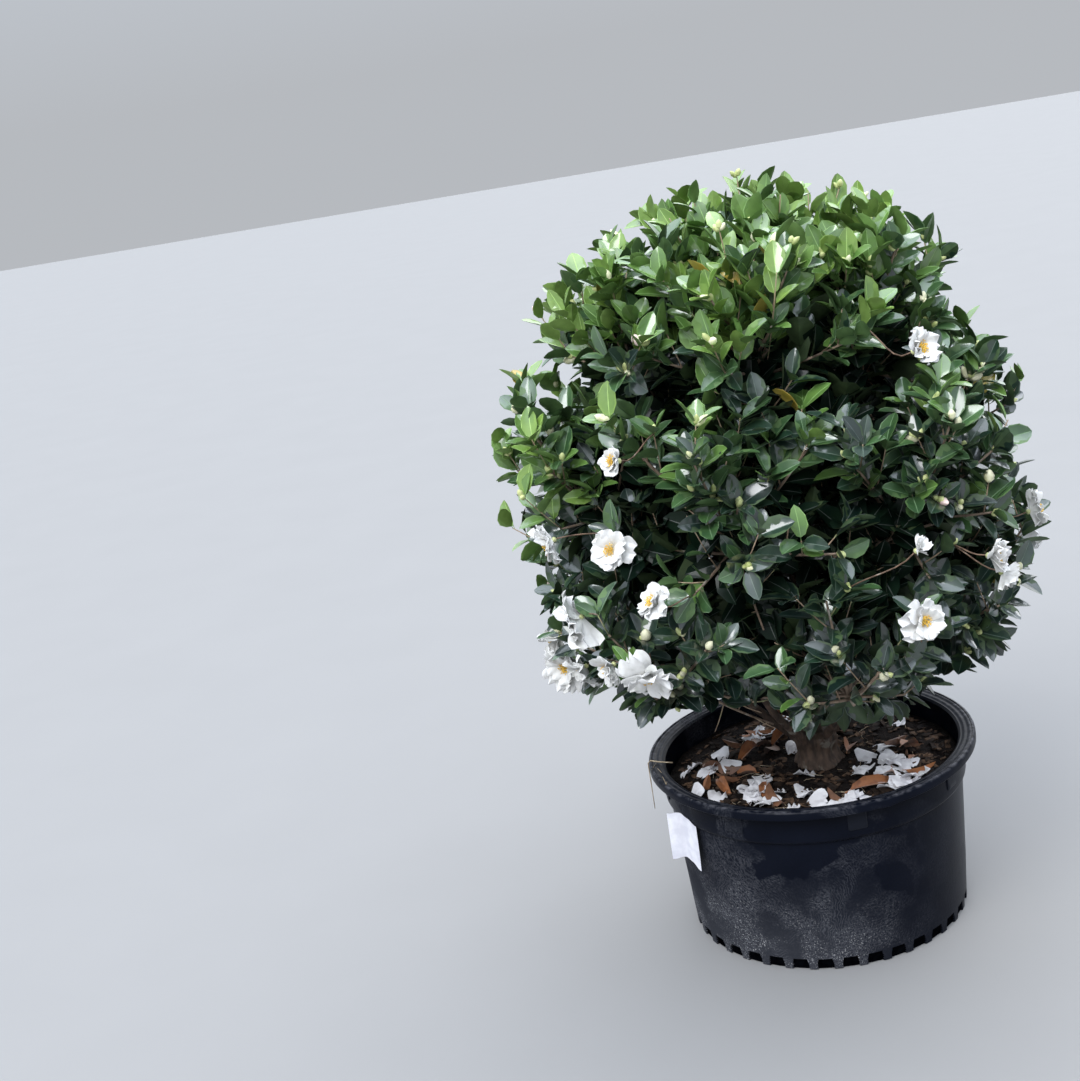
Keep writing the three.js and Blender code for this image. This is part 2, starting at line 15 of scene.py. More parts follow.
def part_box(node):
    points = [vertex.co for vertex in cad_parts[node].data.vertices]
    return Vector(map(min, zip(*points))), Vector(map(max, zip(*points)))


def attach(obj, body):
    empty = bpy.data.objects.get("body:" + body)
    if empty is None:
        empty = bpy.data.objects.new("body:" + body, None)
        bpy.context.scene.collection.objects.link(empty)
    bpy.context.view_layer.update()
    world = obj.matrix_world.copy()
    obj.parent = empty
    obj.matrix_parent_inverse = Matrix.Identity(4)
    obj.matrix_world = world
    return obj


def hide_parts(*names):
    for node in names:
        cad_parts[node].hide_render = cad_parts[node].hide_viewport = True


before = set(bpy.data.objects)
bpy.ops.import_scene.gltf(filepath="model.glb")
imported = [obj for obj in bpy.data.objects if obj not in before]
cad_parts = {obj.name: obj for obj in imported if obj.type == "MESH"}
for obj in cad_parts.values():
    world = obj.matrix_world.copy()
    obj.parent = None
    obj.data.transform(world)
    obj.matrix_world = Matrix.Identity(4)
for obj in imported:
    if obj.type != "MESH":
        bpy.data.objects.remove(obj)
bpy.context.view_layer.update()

# Camera and light
CAMERA_AT = (0.0, -2.870, 1.593)
CAMERA_PITCH = 15.24  # degrees below level
CAMERA_HEADING = -8.86  # degrees from +Y towards +X
CAMERA_ROLL = 9.92
CAMERA_LENS = 53.28  # mm, on a 36 mm sensor
FLOOR_COLOUR = (0.225, 0.222, 0.217)
FLOOR_HALF = 30.0
SKY = [(0.03, (0.47, 0.49, 0.52)), (0.45, (0.68, 0.76, 0.87)), (0.84, (2.75, 3.00, 3.45))]
LAMPS = [  # strength, width in degrees, and the way each comes from
    (2.3, 36, (-0.32, -0.72, 0.85)),
    (1.3, 60, (0.45, 0.85, 0.80)),
]

# Pot
POT_HEIGHT = 0.340
RIM_RADIUS = 0.310
RIM_LIP_HEIGHT = 0.017
RIM_FLANGE_WIDTH = 0.030
BAND_HEIGHT = 0.060
BAND_STEP = 0.007
BASE_RADIUS = 0.262
POT_WALL = 0.0035
POT_FLOOR = 0.005
PAD_COUNT = 8
PAD_WIDTH, PAD_HEIGHT, PAD_PROUD, PAD_THICKNESS = 0.032, 0.040, 0.0025, 0.004
PAD_FIRST_AZIMUTH = 238
NOTCH_COUNT = 36
NOTCH_WIDTH, NOTCH_HEIGHT, NOTCH_REACH = 0.030, 0.022, 0.0045
BEHIND_NOTCHES = BASE_RADIUS - NOTCH_REACH - 0.003
BAND_RADIUS = RIM_RADIUS - RIM_FLANGE_WIDTH + 0.006
BAND_TOP = POT_HEIGHT - RIM_LIP_HEIGHT
BAND_FOOT = BAND_TOP - BAND_HEIGHT
RIM_KINK_AZIMUTH = 293
DENT_DEPTH = 0.0011
TAG_PANEL, TAG_FLAP, TAG_HEIGHT, TAG_THICKNESS = 0.046, 0.029, 0.090, 0.0006
TAG_FOLD_AZIMUTH = 209
TAG_FOLD_SIZE = 0.005
FLAP_ANGLE = (48, 66)  # at the card's top and at its foot

# Potting mix and what lies on it
SOIL_EDGE_TOP = POT_HEIGHT - 0.050
SOIL_MOUND = 0.006
SOIL_CROWN_RADIUS = 0.062
SOIL_TOP = SOIL_EDGE_TOP + SOIL_MOUND
SOIL_RADIUS = 0.2745
SOIL_ROUGHNESS = 0.00224
SOIL_GAP = 0.0012  # between the mix and the pot's wall
SETTLED = 0.65  # how far what lies on the mix is held up by its lowest point
CHIP_KINDS, CHIPS_OF_A_KIND = 10, 85
FIBRES = 95
SINGLE_PETALS = 22
DEAD_LEAVES = 30
PETAL_HEAPS = [  # middle, spread and count of petals
    ((0.135, -0.060), 0.034, 16),
    ((0.165, -0.145), 0.024, 7),
    ((-0.150, -0.100), 0.034, 8),
    ((-0.060, -0.150), 0.030, 8),
    ((-0.205, 0.020), 0.026, 4),
    ((0.040, -0.205), 0.030, 7),
]
STRAWS = [(186, 70, 0.030), (191, 100, 0.022), (199, 84, 0.036), (204, 60, 0.018)]  # azimuth, turn, length
STALK = [  # out from the rim, azimuth, up from the rim, and radius
    (-0.045, 188, -0.001, 0.0013),
    (-0.020, 186, 0.0006, 0.0013),
    (-0.004, 184, 0.0012, 0.0012),
    (0.0018, 183, -0.006, 0.0011),
    (0.0022, 182.5, -0.040, 0.0010),
    (0.0030, 182, -0.105, 0.0007),
]

# Trunk and stems
TRUNK_AT = np.array([0.014, -0.006, SOIL_TOP + 0.0003])
TRUNK_HEIGHT = 0.066
TRUNK_FLARE, TRUNK_NECK, TRUNK_HEAD, TRUNK_SHOULDER = 0.047, 0.033, 0.041, 0.009
TRUNK_LEAN = -0.005
TRUNK_TOP = TRUNK_AT + np.array([TRUNK_LEAN, 0, TRUNK_HEIGHT])
STEM_SUNK = 0.014
OUTER_STEMS = dict(
    count=6, first_azimuth=183, seat=0.029, spread=1.05,
    fork_radius=0.150, fork_height=0.505, radii=(0.009, 0.0065),
)
INNER_STEMS = dict(
    count=3, first_azimuth=200, seat=0.011, spread=0.22,
    fork_radius=0.078, fork_height=0.800, radii=(0.008, 0.006),
)
FORK_UNEVENNESS = 0.022
SWEEP_PULL = 0.38  # how far a curve holds its first direction, as a share of its span
BOUGH_RADII = (0.0055, 0.004)
SHANK_RADII = (0.0048, 0.0030)
BARK_GRAIN = 0.0026  # size of the cubes that the limbs are merged with

# Crown and its masses of foliage
CROWN = dict(x=-0.015, half_width=0.492, half_depth=0.475, middle=0.890, top=1.425, foot=0.362)
POWER_ABOVE, POWER_BELOW = 2.1, 2.8
MASS_GAP = 0.005
LOW_TIER = dict(radius=0.310, height=0.565, turn=-16, unevenness=0.026)
MIDDLE_TIER = dict(radius=0.310, height=0.845, turn=15, unevenness=0.026)
UPPER_TIER = dict(count=5, radius=0.210, height=1.105, unevenness=0.016)
TOP_TIER = dict(azimuth=40, radius=0.025, height=1.205)
OUTWARD_FROM = np.array([CROWN["x"], 0.0, 0.650])
BOUGH_SHARE = 0.62
SHANK_BEYOND_MIDDLE = 0.024

# Branchlets turn round each mass's stem as the solids' twigs do, and twigs turn round them
GOLDEN_ANGLE = math.degrees(math.pi * (3 - math.sqrt(5)))
BRANCHLETS = 17
BRANCHLET_LONGEST = 0.230
BRANCHLET_RADII = (0.0033, 0.0018)
BRANCHLET_LOWEST, BRANCHLET_HIGHEST, BRANCHLET_LIFT = -0.85, 0.95, (0.2, 0.45)
TWIG_SPACING = 0.034
TWIG_LONGEST, TWIG_LONGEST_AT_TIP = 0.105, 0.055
TWIG_LIFT = (0.20, 0.90)  # how much twigs turn up, low on the crown and at its top
TWIG_RADII = (0.0014, 0.0009)
SHOOT_LONGEST = 0.150
SHORTEST_LIMB, SHORTEST_TWIG = 0.035, 0.018
LEAF_ROOM = 0.052  # kept free between a twig's end and the crown's outline
LEAF_LENGTH = 0.056
LEAF_SPACING = 0.0175
LEAF_TURN = 137.5
SHOOT_LEAF_SCALE = 0.92
LEAVES_FROM = 0.05  # share of the crown, from its middle outwards, that has no leaves
# Leaves deep inside the crown are painted nearly black: painted shade
PAINTED_SHADE_WITHIN = 0.42  # share of the crown whose leaves are plain and dark
INNER_SWELL = 1.20
LEAVES_IN_A_PIECE = 2800
BUD_LENGTH = 0.0155

# The crown's lower edge, as places along X and its height there at the middle of its depth, which
# rises to the front, and openings in its front that show the stems: where each is, and its radius
SKIRT_X = (-0.40, -0.20, -0.06, 0.01, 0.10, 0.20, 0.40)
SKIRT_HEIGHT = (0.380, 0.430, 0.445, 0.320, 0.315, 0.375, 0.370)
SKIRT_SLOPE = 0.36
HOLLOWS = [
    ((-0.150, -0.34, 0.890), 0.042),
    ((0.080, -0.34, 0.975), 0.028),
    ((0.047, -0.34, 0.795), 0.046),
    ((-0.060, -0.34, 0.670), 0.044),
]

# Blossom of the front, from left to right: where it is, how far it turns from straight outwards
# and up, in degrees, its size, and how wide it is open
FRONT_BLOSSOM = [
    ((-0.377, -0.320, 0.887), -30, -15, 0.070, 0.75),
    ((-0.271, -0.400, 0.882), 15, 10, 0.068, 0.90),
    ((-0.350, -0.340, 0.753), -58, -30, 0.094, 0.85),
    ((-0.211, -0.430, 0.790), -25, 35, 0.062, 0.80),
    ((-0.307, -0.360, 0.669), -25, -25, 0.064, 0.80),
    ((-0.246, -0.395, 0.662), 5, -48, 0.093, 0.95),
    ((0.198, -0.410, 0.700), 5, 12, 0.070, 0.70),
    ((0.206, -0.420, 0.822), 25, 40, 0.040, 0.25),
    ((0.325, -0.340, 0.771), 25, -10, 0.062, 0.55),
    ((0.346, -0.315, 0.731), 40, -30, 0.050, 0.60),
    ((0.241, -0.350, 1.122), 20, 20, 0.064, 0.50),
    ((-0.241, -0.400, 1.025), -10, 15, 0.046, 0.45),
]
BACK_BLOSSOM = dict(count=13, first_azimuth=-14, span=232, low=0.600, high=0.930)


# Vectors and curves

UP = np.array([0.0, 0.0, 1.0])


def unit(v):
    return v / np.linalg.norm(v, axis=-1, keepdims=True)


def polar(radius, azimuth, height):
    angle = math.radians(azimuth)
    return np.array([radius * math.cos(angle), radius * math.sin(angle), height])


def lerp(a, b, t):
    return a + (b - a) * t


def smoothstep(x, low, high):
    t = np.clip((x - low) / (high - low), 0, 1)
    return t * t * (3 - 2 * t)


def turned(v, axis, degrees):
    """A vector turned about an axis"""
    angle = math.radians(degrees)
    axis = unit(axis)
    along = axis * (v @ axis) * (1 - math.cos(angle))
    return v * math.cos(angle) + np.cross(axis, v) * math.sin(angle) + along


def spun(points, axis, degrees):
    """Points turned about X, Y or Z"""
    return points @ np.array(Matrix.Rotation(math.radians(degrees), 3, axis)).T


def across(v):
    """Some direction square to a vector"""
    other = UP if abs(v[2]) < 0.9 * np.linalg.norm(v) else np.array([1.0, 0.0, 0.0])
    return unit(np.cross(v, other))


def sweep(start, leaving, end, arriving, count):
    """Points of a curve that leaves one point in one direction and reaches another in a second"""
    pull = SWEEP_PULL * np.linalg.norm(end - start)
    second = start + unit(leaving) * pull
    third = end - unit(arriving) * pull
    t = np.linspace(0, 1, count)[:, None]
    return (1 - t) ** 3 * start + 3 * (1 - t) ** 2 * t * second + 3 * (1 - t) * t * t * third + t**3 * end


def point_along(path, share):
    """The point at a share of a path's length, and the direction there"""
    legs = np.linalg.norm(np.diff(path, axis=0), axis=1)
    run = np.concatenate([[0], np.cumsum(legs)])
    distance = share * run[-1]
    leg = min(int(np.searchsorted(run, distance, side="right")) - 1, len(legs) - 1)
    part = (distance - run[leg]) / legs[leg]
    return lerp(path[leg], path[leg + 1], part), (path[leg + 1] - path[leg]) / legs[leg]


def length_of(path):
    return float(np.linalg.norm(np.diff(path, axis=0), axis=1).sum())


def ripple(points, wavelength, seed, octaves):
    """Smooth seeded unevenness from about -1 to 1 at each point"""
    rng = np.random.default_rng(seed)
    total = np.zeros(len(points))
    for octave in range(octaves):
        for _ in range(5):
            direction = unit(rng.normal(size=3)) * rng.uniform(0.7, 1.4)
            phase = rng.uniform(0, 2 * math.pi)
            turns = points @ direction * (2 * math.pi * 2**octave / wavelength)
            total += 0.55**octave * np.sin(turns + phase)
    return total / 5


# Shapes

class Shape:
    """Points, triangles, and a material number for each triangle. Flattened triangles are dropped"""

    def __init__(self, points, faces, slots=0):
        faces = np.asarray(faces, int).reshape(-1, 3)
        whole = (faces != np.roll(faces, 1, axis=1)).all(axis=1)
        self.points = np.asarray(points, float).reshape(-1, 3)
        self.faces = faces[whole]
        self.slots = (np.zeros(len(faces), int) + slots)[whole]


def joined(shapes):
    """Several shapes as one"""
    starts = np.cumsum([0] + [len(shape.points) for shape in shapes[:-1]])
    points = np.concatenate([shape.points for shape in shapes])
    faces = np.concatenate([shape.faces + start for shape, start in zip(shapes, starts)])
    return Shape(points, faces, np.concatenate([shape.slots for shape in shapes]))


def grid_faces(rows, columns, closed=False):
    """Triangles between neighbouring rows of a grid of points"""
    row, column = np.meshgrid(np.arange(rows - 1), np.arange(columns - (not closed)), indexing="ij")
    here = (row * columns + column).ravel()
    beside = (row * columns + (column + 1) % columns).ravel()
    above = np.stack([here, beside + columns, here + columns], axis=1)
    return np.concatenate([np.stack([here, beside, beside + columns], axis=1), above])


def circle(count):
    return np.linspace(0, 2 * math.pi, count, endpoint=False)


def ring(radius, angles, height):
    """Points round Z; the radius and the height may differ from point to point"""
    return np.stack(np.broadcast_arrays(radius * np.cos(angles), radius * np.sin(angles), height), axis=1)


def skin(rows):
    """Rings of points as one surface, with points that coincide made one"""
    points = np.concatenate(rows)
    keys = np.round(points / 1e-7).astype(np.int64)
    _, first, merged = np.unique(keys, axis=0, return_index=True, return_inverse=True)
    return Shape(points[first], merged.reshape(-1)[grid_faces(len(rows), len(rows[0]), closed=True)])


def tube(path, radii, sides, slot=0):
    """A closed round limb along a path, with a radius for each of its points"""
    tangents = unit(np.gradient(path, axis=0))
    normal = across(tangents[0])
    normals = []
    for tangent in tangents:
        normal = unit(normal - tangent * (normal @ tangent))
        normals.append(normal)
    normals = np.array(normals)
    binormals = np.cross(tangents, normals)
    angles = circle(sides)[None, :, None]
    spokes = np.cos(angles) * normals[:, None] + np.sin(angles) * binormals[:, None]
    rings = path[:, None] + np.asarray(radii)[:, None, None] * spokes
    count = len(path) * sides
    here = np.arange(sides)
    after = (here + 1) % sides
    foot = np.stack([np.full(sides, count), after, here], axis=1)
    tip = np.stack([np.full(sides, count + 1), count - sides + here, count - sides + after], axis=1)
    faces = np.concatenate([grid_faces(len(path), sides, closed=True), foot, tip])
    return Shape(np.concatenate([rings.reshape(-1, 3), path[:1], path[-1:]]), faces, slot)


def sheet(grid, thickness, slot=0):
    """A closed thin sheet with its middle on a grid of points (rows, columns, xyz)"""
    rows, columns = grid.shape[:2]
    normals = unit(np.cross(np.gradient(grid, axis=1), np.gradient(grid, axis=0)) + 1e-12)
    top = (grid + normals * thickness / 2).reshape(-1, 3)
    bottom = (grid - normals * thickness / 2).reshape(-1, 3)
    count = rows * columns
    upper = grid_faces(rows, columns)
    index = np.arange(count).reshape(rows, columns)
    rim = np.concatenate([index[0, :-1], index[:-1, -1], index[-1, :0:-1], index[:0:-1, 0]])
    after = np.roll(rim, -1)
    corners = (rim, rim + count, after + count), (rim, after + count, after)
    border = [np.stack(three, axis=1) for three in corners]
    faces = np.concatenate([upper, upper[:, ::-1] + count, *border])
    return Shape(np.concatenate([top, bottom]), faces, slot)


def facing_frames(along, facing):
    """Axes for shapes that lie along X with their faces up: along one direction and facing another"""
    x = unit(np.asarray(along, float))
    y = unit(np.cross(np.asarray(facing, float), x))
    return np.stack([x, y, np.cross(x, y)], axis=-2)


def copies(shape, origins, axes, sizes):
    """Copies of one shape, each at its origin, in its axes and at its size"""
    scaled = axes * np.asarray(sizes)[:, None, None]
    points = np.einsum("ni,kij->knj", shape.points, scaled) + np.asarray(origins)[:, None]
    starts = np.arange(len(origins)) * len(shape.points)
    return Shape(points, shape.faces[None] + starts[:, None, None], np.tile(shape.slots, len(origins)))


def placed_copies(variants, places):
    """Copies of a few variants of a shape, dealt out over places in turn"""
    shapes = []
    for i, variant in enumerate(variants):
        chosen = places[i :: len(variants)]
        if chosen:
            origins, along, facing, sizes = (np.array(column) for column in zip(*chosen))
            shapes.append(copies(variant, origins, facing_frames(along, facing), sizes))
    return joined(shapes)


def linked(name, data):
    """An object of the scene"""
    thing = bpy.data.objects.new(name, data)
    bpy.context.scene.collection.objects.link(thing)
    return thing


def mesh_of(name, shape):
    mesh = bpy.data.meshes.new(name)
    mesh.from_pydata(shape.points.tolist(), [], shape.faces.tolist())
    return mesh


def make_piece(name, shape, materials, replaced=(), sharp=None):
    """A Blender object that rides on the pot's body, with its materials, and the solids it replaces hidden
    """
    mesh = mesh_of(name, shape)
    mesh.polygons.foreach_set("material_index", shape.slots.astype(np.int32))
    mesh.shade_smooth()
    if sharp is not None:
        mesh.set_sharp_from_angle(angle=math.radians(sharp))
    for material in materials:
        mesh.materials.append(material)
    piece = linked(name, mesh)
    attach(piece, "root")
    if replaced:
        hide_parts(*replaced)


# Materials: small helpers, then one function for each finish

def set_inputs(node, **inputs):
    """Sets a node's inputs by name, each to a plain value or linked to another node's output"""
    for name, value in inputs.items():
        feed(node.inputs[name.replace("_", " ")], value)
    return node


def feed(socket, value):
    if isinstance(value, bpy.types.NodeSocket):
        socket.id_data.links.new(value, socket)
    else:
        socket.default_value = value


def add_node(tree, kind, **inputs):
    return set_inputs(tree.nodes.new(kind), **inputs)


def new_material(name, **sockets):
    """A material whose plain values are set on the shader's own sockets"""
    material = bpy.data.materials.new(name)
    material.use_nodes = True
    tree = material.node_tree
    return material, tree, set_inputs(tree.nodes["Principled BSDF"], **sockets)


def own_space(tree, **moved):
    """Places in the object's own space, moved or scaled"""
    place = add_node(tree, "ShaderNodeTexCoord").outputs["Object"]
    return add_node(tree, "ShaderNodeMapping", Vector=place, **moved).outputs["Vector"]


def noise(tree, scale, detail, stretch=(1, 1, 1), distortion=0.0):
    """Noise from 0 to 1"""
    texture = add_node(tree, "ShaderNodeTexNoise", Vector=own_space(tree, Scale=stretch), Scale=scale)
    return set_inputs(texture, Detail=detail, Distortion=distortion).outputs["Fac"]


def along_axis(tree, axis, low, high):
    """A place along one of the object's own axes, as 0 at low and 1 at high"""
    split = add_node(tree, "ShaderNodeSeparateXYZ", Vector=own_space(tree))
    place = add_node(tree, "ShaderNodeMapRange", Value=split.outputs[axis], From_Min=low, From_Max=high)
    return place.outputs["Result"]


def maths(operation, first, second):
    node = add_node(first.id_data, "ShaderNodeMath")
    node.operation = operation
    node.use_clamp = True
    for socket, value in zip(node.inputs, (first, second)):
        feed(socket, value)
    return node.outputs["Value"]


def times(first, second):
    return maths("MULTIPLY", first, second)


def plus(first, second):
    return maths("ADD", first, second)


def ramp(factor, stops):
    """Colours or greys by a factor: stops are pairs of place and value"""
    node = add_node(factor.id_data, "ShaderNodeValToRGB", Fac=factor)
    elements = node.color_ramp.elements
    while len(elements) < len(stops):
        elements.new(0.5)
    for element, (place, value) in zip(elements, stops):
        element.position = place
        element.color = (*value, 1) if isinstance(value, tuple) else (value, value, value, 1)
    return node.outputs["Color"]


def rising(factor, low, high, most=1.0):
    return ramp(factor, [(low, 0.0), (high, most)])


def wiped_lines(tree, middle, spacing):
    """Uneven rings round a line along Y, as a wiping hand leaves them in dust"""
    place = own_space(tree, Location=(-middle[0], 0, -middle[1]))
    wave = add_node(tree, "ShaderNodeTexWave", Vector=place, Scale=math.pi / 10 / spacing)
    set_inputs(wave, Distortion=16.0, Detail=4.0, Detail_Scale=0.9)
    wave.wave_type = "RINGS"
    wave.rings_direction = "Y"
    return rising(wave.outputs["Fac"], 0.62, 0.92)


def mixed(factor, first, second):
    """Two colours mixed by a factor; each is a socket or a plain colour"""
    node = add_node(factor.id_data, "ShaderNodeMix")
    node.data_type = "RGBA"
    feed(node.inputs["Factor"], factor)
    for socket, value in zip([s for s in node.inputs if s.type == "RGBA"], (first, second)):
        feed(socket, (*value, 1) if isinstance(value, tuple) else value)
    return next(s for s in node.outputs if s.type == "RGBA")


def add_bump(shader, level, strength, distance):
    bump = add_node(shader.id_data, "ShaderNodeBump", Height=level, Strength=strength, Distance=distance)
    set_inputs(shader, Normal=bump.outputs["Normal"])


def mottled(name, grain, stops, relief, strength, distance, **sockets):
    """A finish with its colours dealt out by one noise, and a fine relief by another"""
    material, tree, shader = new_material(name, **sockets)
    set_inputs(shader, Base_Color=ramp(noise(tree, *grain), stops))
    add_bump(shader, noise(tree, *relief), strength, distance)
    return material


def plastic_material(name, dark, light):
    """Blue-black plastic, with dried water stains above, and below and to the left grey dust,
    wiped in rings, with scuffs and grit; the flange at the top is paler, partly worn and partly a painted
    highlight"""
    material, tree, shader = new_material(name, Specular_IOR_Level=0.07)
    lowness = ramp(along_axis(tree, "Z", 0.30, 0.0), [(0.0, 0.0), (0.35, 0.10), (0.62, 0.36), (0.88, 0.80)])
    leftness = ramp(along_axis(tree, "X", 0.19, -0.01), [(0.0, 0.15), (1.0, 1.0)])
    dirt = times(lowness, leftness)
    stains = ramp(plus(noise(tree, 8.5, 7), dirt), [(0.555, 0.0), (0.58, 0.60), (0.95, 1.0)])
    stained = times(stains, leftness)
    patches = rising(noise(tree, 15, 4), 0.42, 0.62)
    other_patches = rising(noise(tree, 11, 4, distortion=0.8), 0.46, 0.60)
    swept = times(wiped_lines(tree, (0.020, 0.330), 0.0062), patches)
    wiped = times(wiped_lines(tree, (-0.130, 0.130), 0.0050), other_patches)
    scuffs = rising(noise(tree, 230, 6), 0.44, 0.66)
    grit = rising(noise(tree, 400, 3), 0.60, 0.66)
    clean = mixed(noise(tree, 14, 4), dark, light)
    dusty = mixed(dirt, (0.0050, 0.0066, 0.0120), (0.030, 0.032, 0.039))
    marked = mixed(times(times(scuffs, plus(patches, 0.15)), 0.50), dusty, (0.090, 0.092, 0.104))
    ringed = mixed(times(plus(swept, wiped), 0.30), marked, (0.110, 0.113, 0.128))
    gritty = mixed(times(grit, times(patches, dirt)), ringed, (0.55, 0.55, 0.55))
    # Paler along the flange's top: partly wear, partly a painted highlight along the lip
    at_top = ramp(along_axis(tree, "Z", 0.3350, 0.3400), [(0.0, 0.0), (0.55, 0.35), (1.0, 1.0)])
    worn_and_highlit = times(at_top, rising(noise(tree, 90, 6), 0.42, 0.66, 0.8))
    colour = mixed(worn_and_highlit, mixed(stained, clean, gritty), (0.125, 0.125, 0.140))
    set_inputs(shader, Base_Color=colour, Roughness=ramp(stained, [(0.0, 0.32), (1.0, 0.70)]))
    add_bump(shader, plus(scuffs, noise(tree, 45, 3)), 0.14, 0.0006)
    return material


def mix_material():
    """Nearly black fine bark and peat"""
    stops = [(0.30, (0.003, 0.002, 0.002)), (0.55, (0.010, 0.007, 0.006)), (0.75, (0.036, 0.024, 0.018))]
    shine = dict(Roughness=0.93, Specular_IOR_Level=0.12)
    return mottled("potting_mix", (260, 4), stops, (260, 4), 0.8, 0.004, **shine)


def chip_material(name, dark, light, shine=0.2):
    stops = [(0.35, dark), (0.65, light)]
    relief = (500, 3, (1, 0.3, 1))
    return mottled(name, (70, 4), stops, relief, 0.5, 0.0008, Roughness=0.85, Specular_IOR_Level=shine)


def bark_material(name, dark, light, lichen, lichen_share):
    """Brown bark, streaked along the limbs, with pale grey patches"""
    material, tree, shader = new_material(name, Roughness=0.78)
    streaks = noise(tree, 95, 5, (1, 1, 0.28))
    brown = ramp(streaks, [(0.32, dark), (0.68, light)])
    patches = rising(noise(tree, 34, 4), 1 - lichen_share, 1.08 - lichen_share)
    set_inputs(shader, Base_Color=mixed(patches, brown, lichen))
    add_bump(shader, streaks, 0.6, 0.0016)
    return material


def leaf_material(name, dark, light, wax):
    """The waxy upper face of a leaf"""
    coat = dict(Specular_IOR_Level=0.5 * wax, Coat_Weight=wax, Coat_Roughness=0.11, Coat_IOR=1.65)
    stops = [(0.36, dark), (0.64, light)]
    return mottled(name, (26, 3), stops, (190, 3), 0.22, 0.0011, Roughness=0.40, **coat)


def underleaf_material(name, dark, light):
    """The duller and paler face below"""
    return mottled(name, (34, 3), [(0.36, dark), (0.64, light)], (240, 2), 0.25, 0.0008, Roughness=0.52)


def petal_material(name, pale, shaded):
    stops = [(0.30, shaded), (0.55, pale)]
    return mottled(name, (60, 4), stops, (330, 3), 0.25, 0.0007, Roughness=0.5, Sheen_Weight=0.15)


def card_material():
    stops = [(0.35, (0.60, 0.60, 0.66)), (0.65, (0.76, 0.76, 0.80))]
    return mottled("white_card", (45, 3), stops, (900, 2), 0.12, 0.0003, Roughness=0.55)


def floor_material():
    material, tree, shader = new_material("floor", Roughness=0.8)
    shade = tuple(0.94 * channel for channel in FLOOR_COLOUR)
    set_inputs(shader, Base_Color=mixed(noise(tree, 3, 3), shade, FLOOR_COLOUR))
    return material


# Camera, light and floor

def make_camera():
    """The photograph's view: turned, tipped down and rolled about the way it looks"""
    pitch, heading = math.radians(CAMERA_PITCH), math.radians(CAMERA_HEADING)
    level = math.cos(pitch)
    forward = Vector((level * math.sin(heading), level * math.cos(heading), -math.sin(pitch)))
    right = forward.cross(Vector((0, 0, 1))).normalized()
    roll = Matrix.Rotation(math.radians(CAMERA_ROLL), 3, forward)
    axes = Matrix((roll @ right, roll @ right.cross(forward), -forward)).transposed()
    camera = linked("camera", bpy.data.cameras.new("camera"))
    camera.data.lens = CAMERA_LENS
    camera.data.sensor_width = 36
    camera.matrix_world = Matrix.Translation(CAMERA_AT) @ axes.to_4x4()
    bpy.context.scene.camera = camera


def make_light():
    """An overcast sky, brighter overhead, with wide soft lights from the left and from behind"""
    world = bpy.data.worlds.new("sky")
    bpy.context.scene.world = world
    world.use_nodes = True
    tree = world.node_tree
    place = add_node(tree, "ShaderNodeTexCoord").outputs["Generated"]
    height = add_node(tree, "ShaderNodeSeparateXYZ", Vector=place).outputs["Z"]
    set_inputs(tree.nodes["Background"], Color=ramp(height, SKY))
    for number, (strength, angle, comes_from) in enumerate(LAMPS):
        lamp = bpy.data.lights.new(f"soft_light_{number}", "SUN")
        lamp.energy = strength
        lamp.angle = math.radians(angle)
        light = linked(lamp.name, lamp)
        light.rotation_mode = "QUATERNION"
        light.rotation_quaternion = Vector(comes_from).to_track_quat("Z", "Y")
    bpy.context.scene.view_settings.view_transform = "Standard"


def make_floor():
    corners = [(x * FLOOR_HALF, y * FLOOR_HALF, 0) for x, y in ((-1, -1), (1, -1), (1, 1), (-1, 1))]
    mesh = bpy.data.meshes.new("floor")
    mesh.from_pydata(corners, [], [(0, 1, 2, 3)])
    mesh.materials.append(floor_material())
    floor = linked("floor", mesh)
    floor.location.z = -0.0005


# The pot

def wall_radius(h):
    """Radius of the pot's outer wall below the band"""
    return lerp(BASE_RADIUS, BAND_RADIUS - BAND_STEP, h / BAND_FOOT)


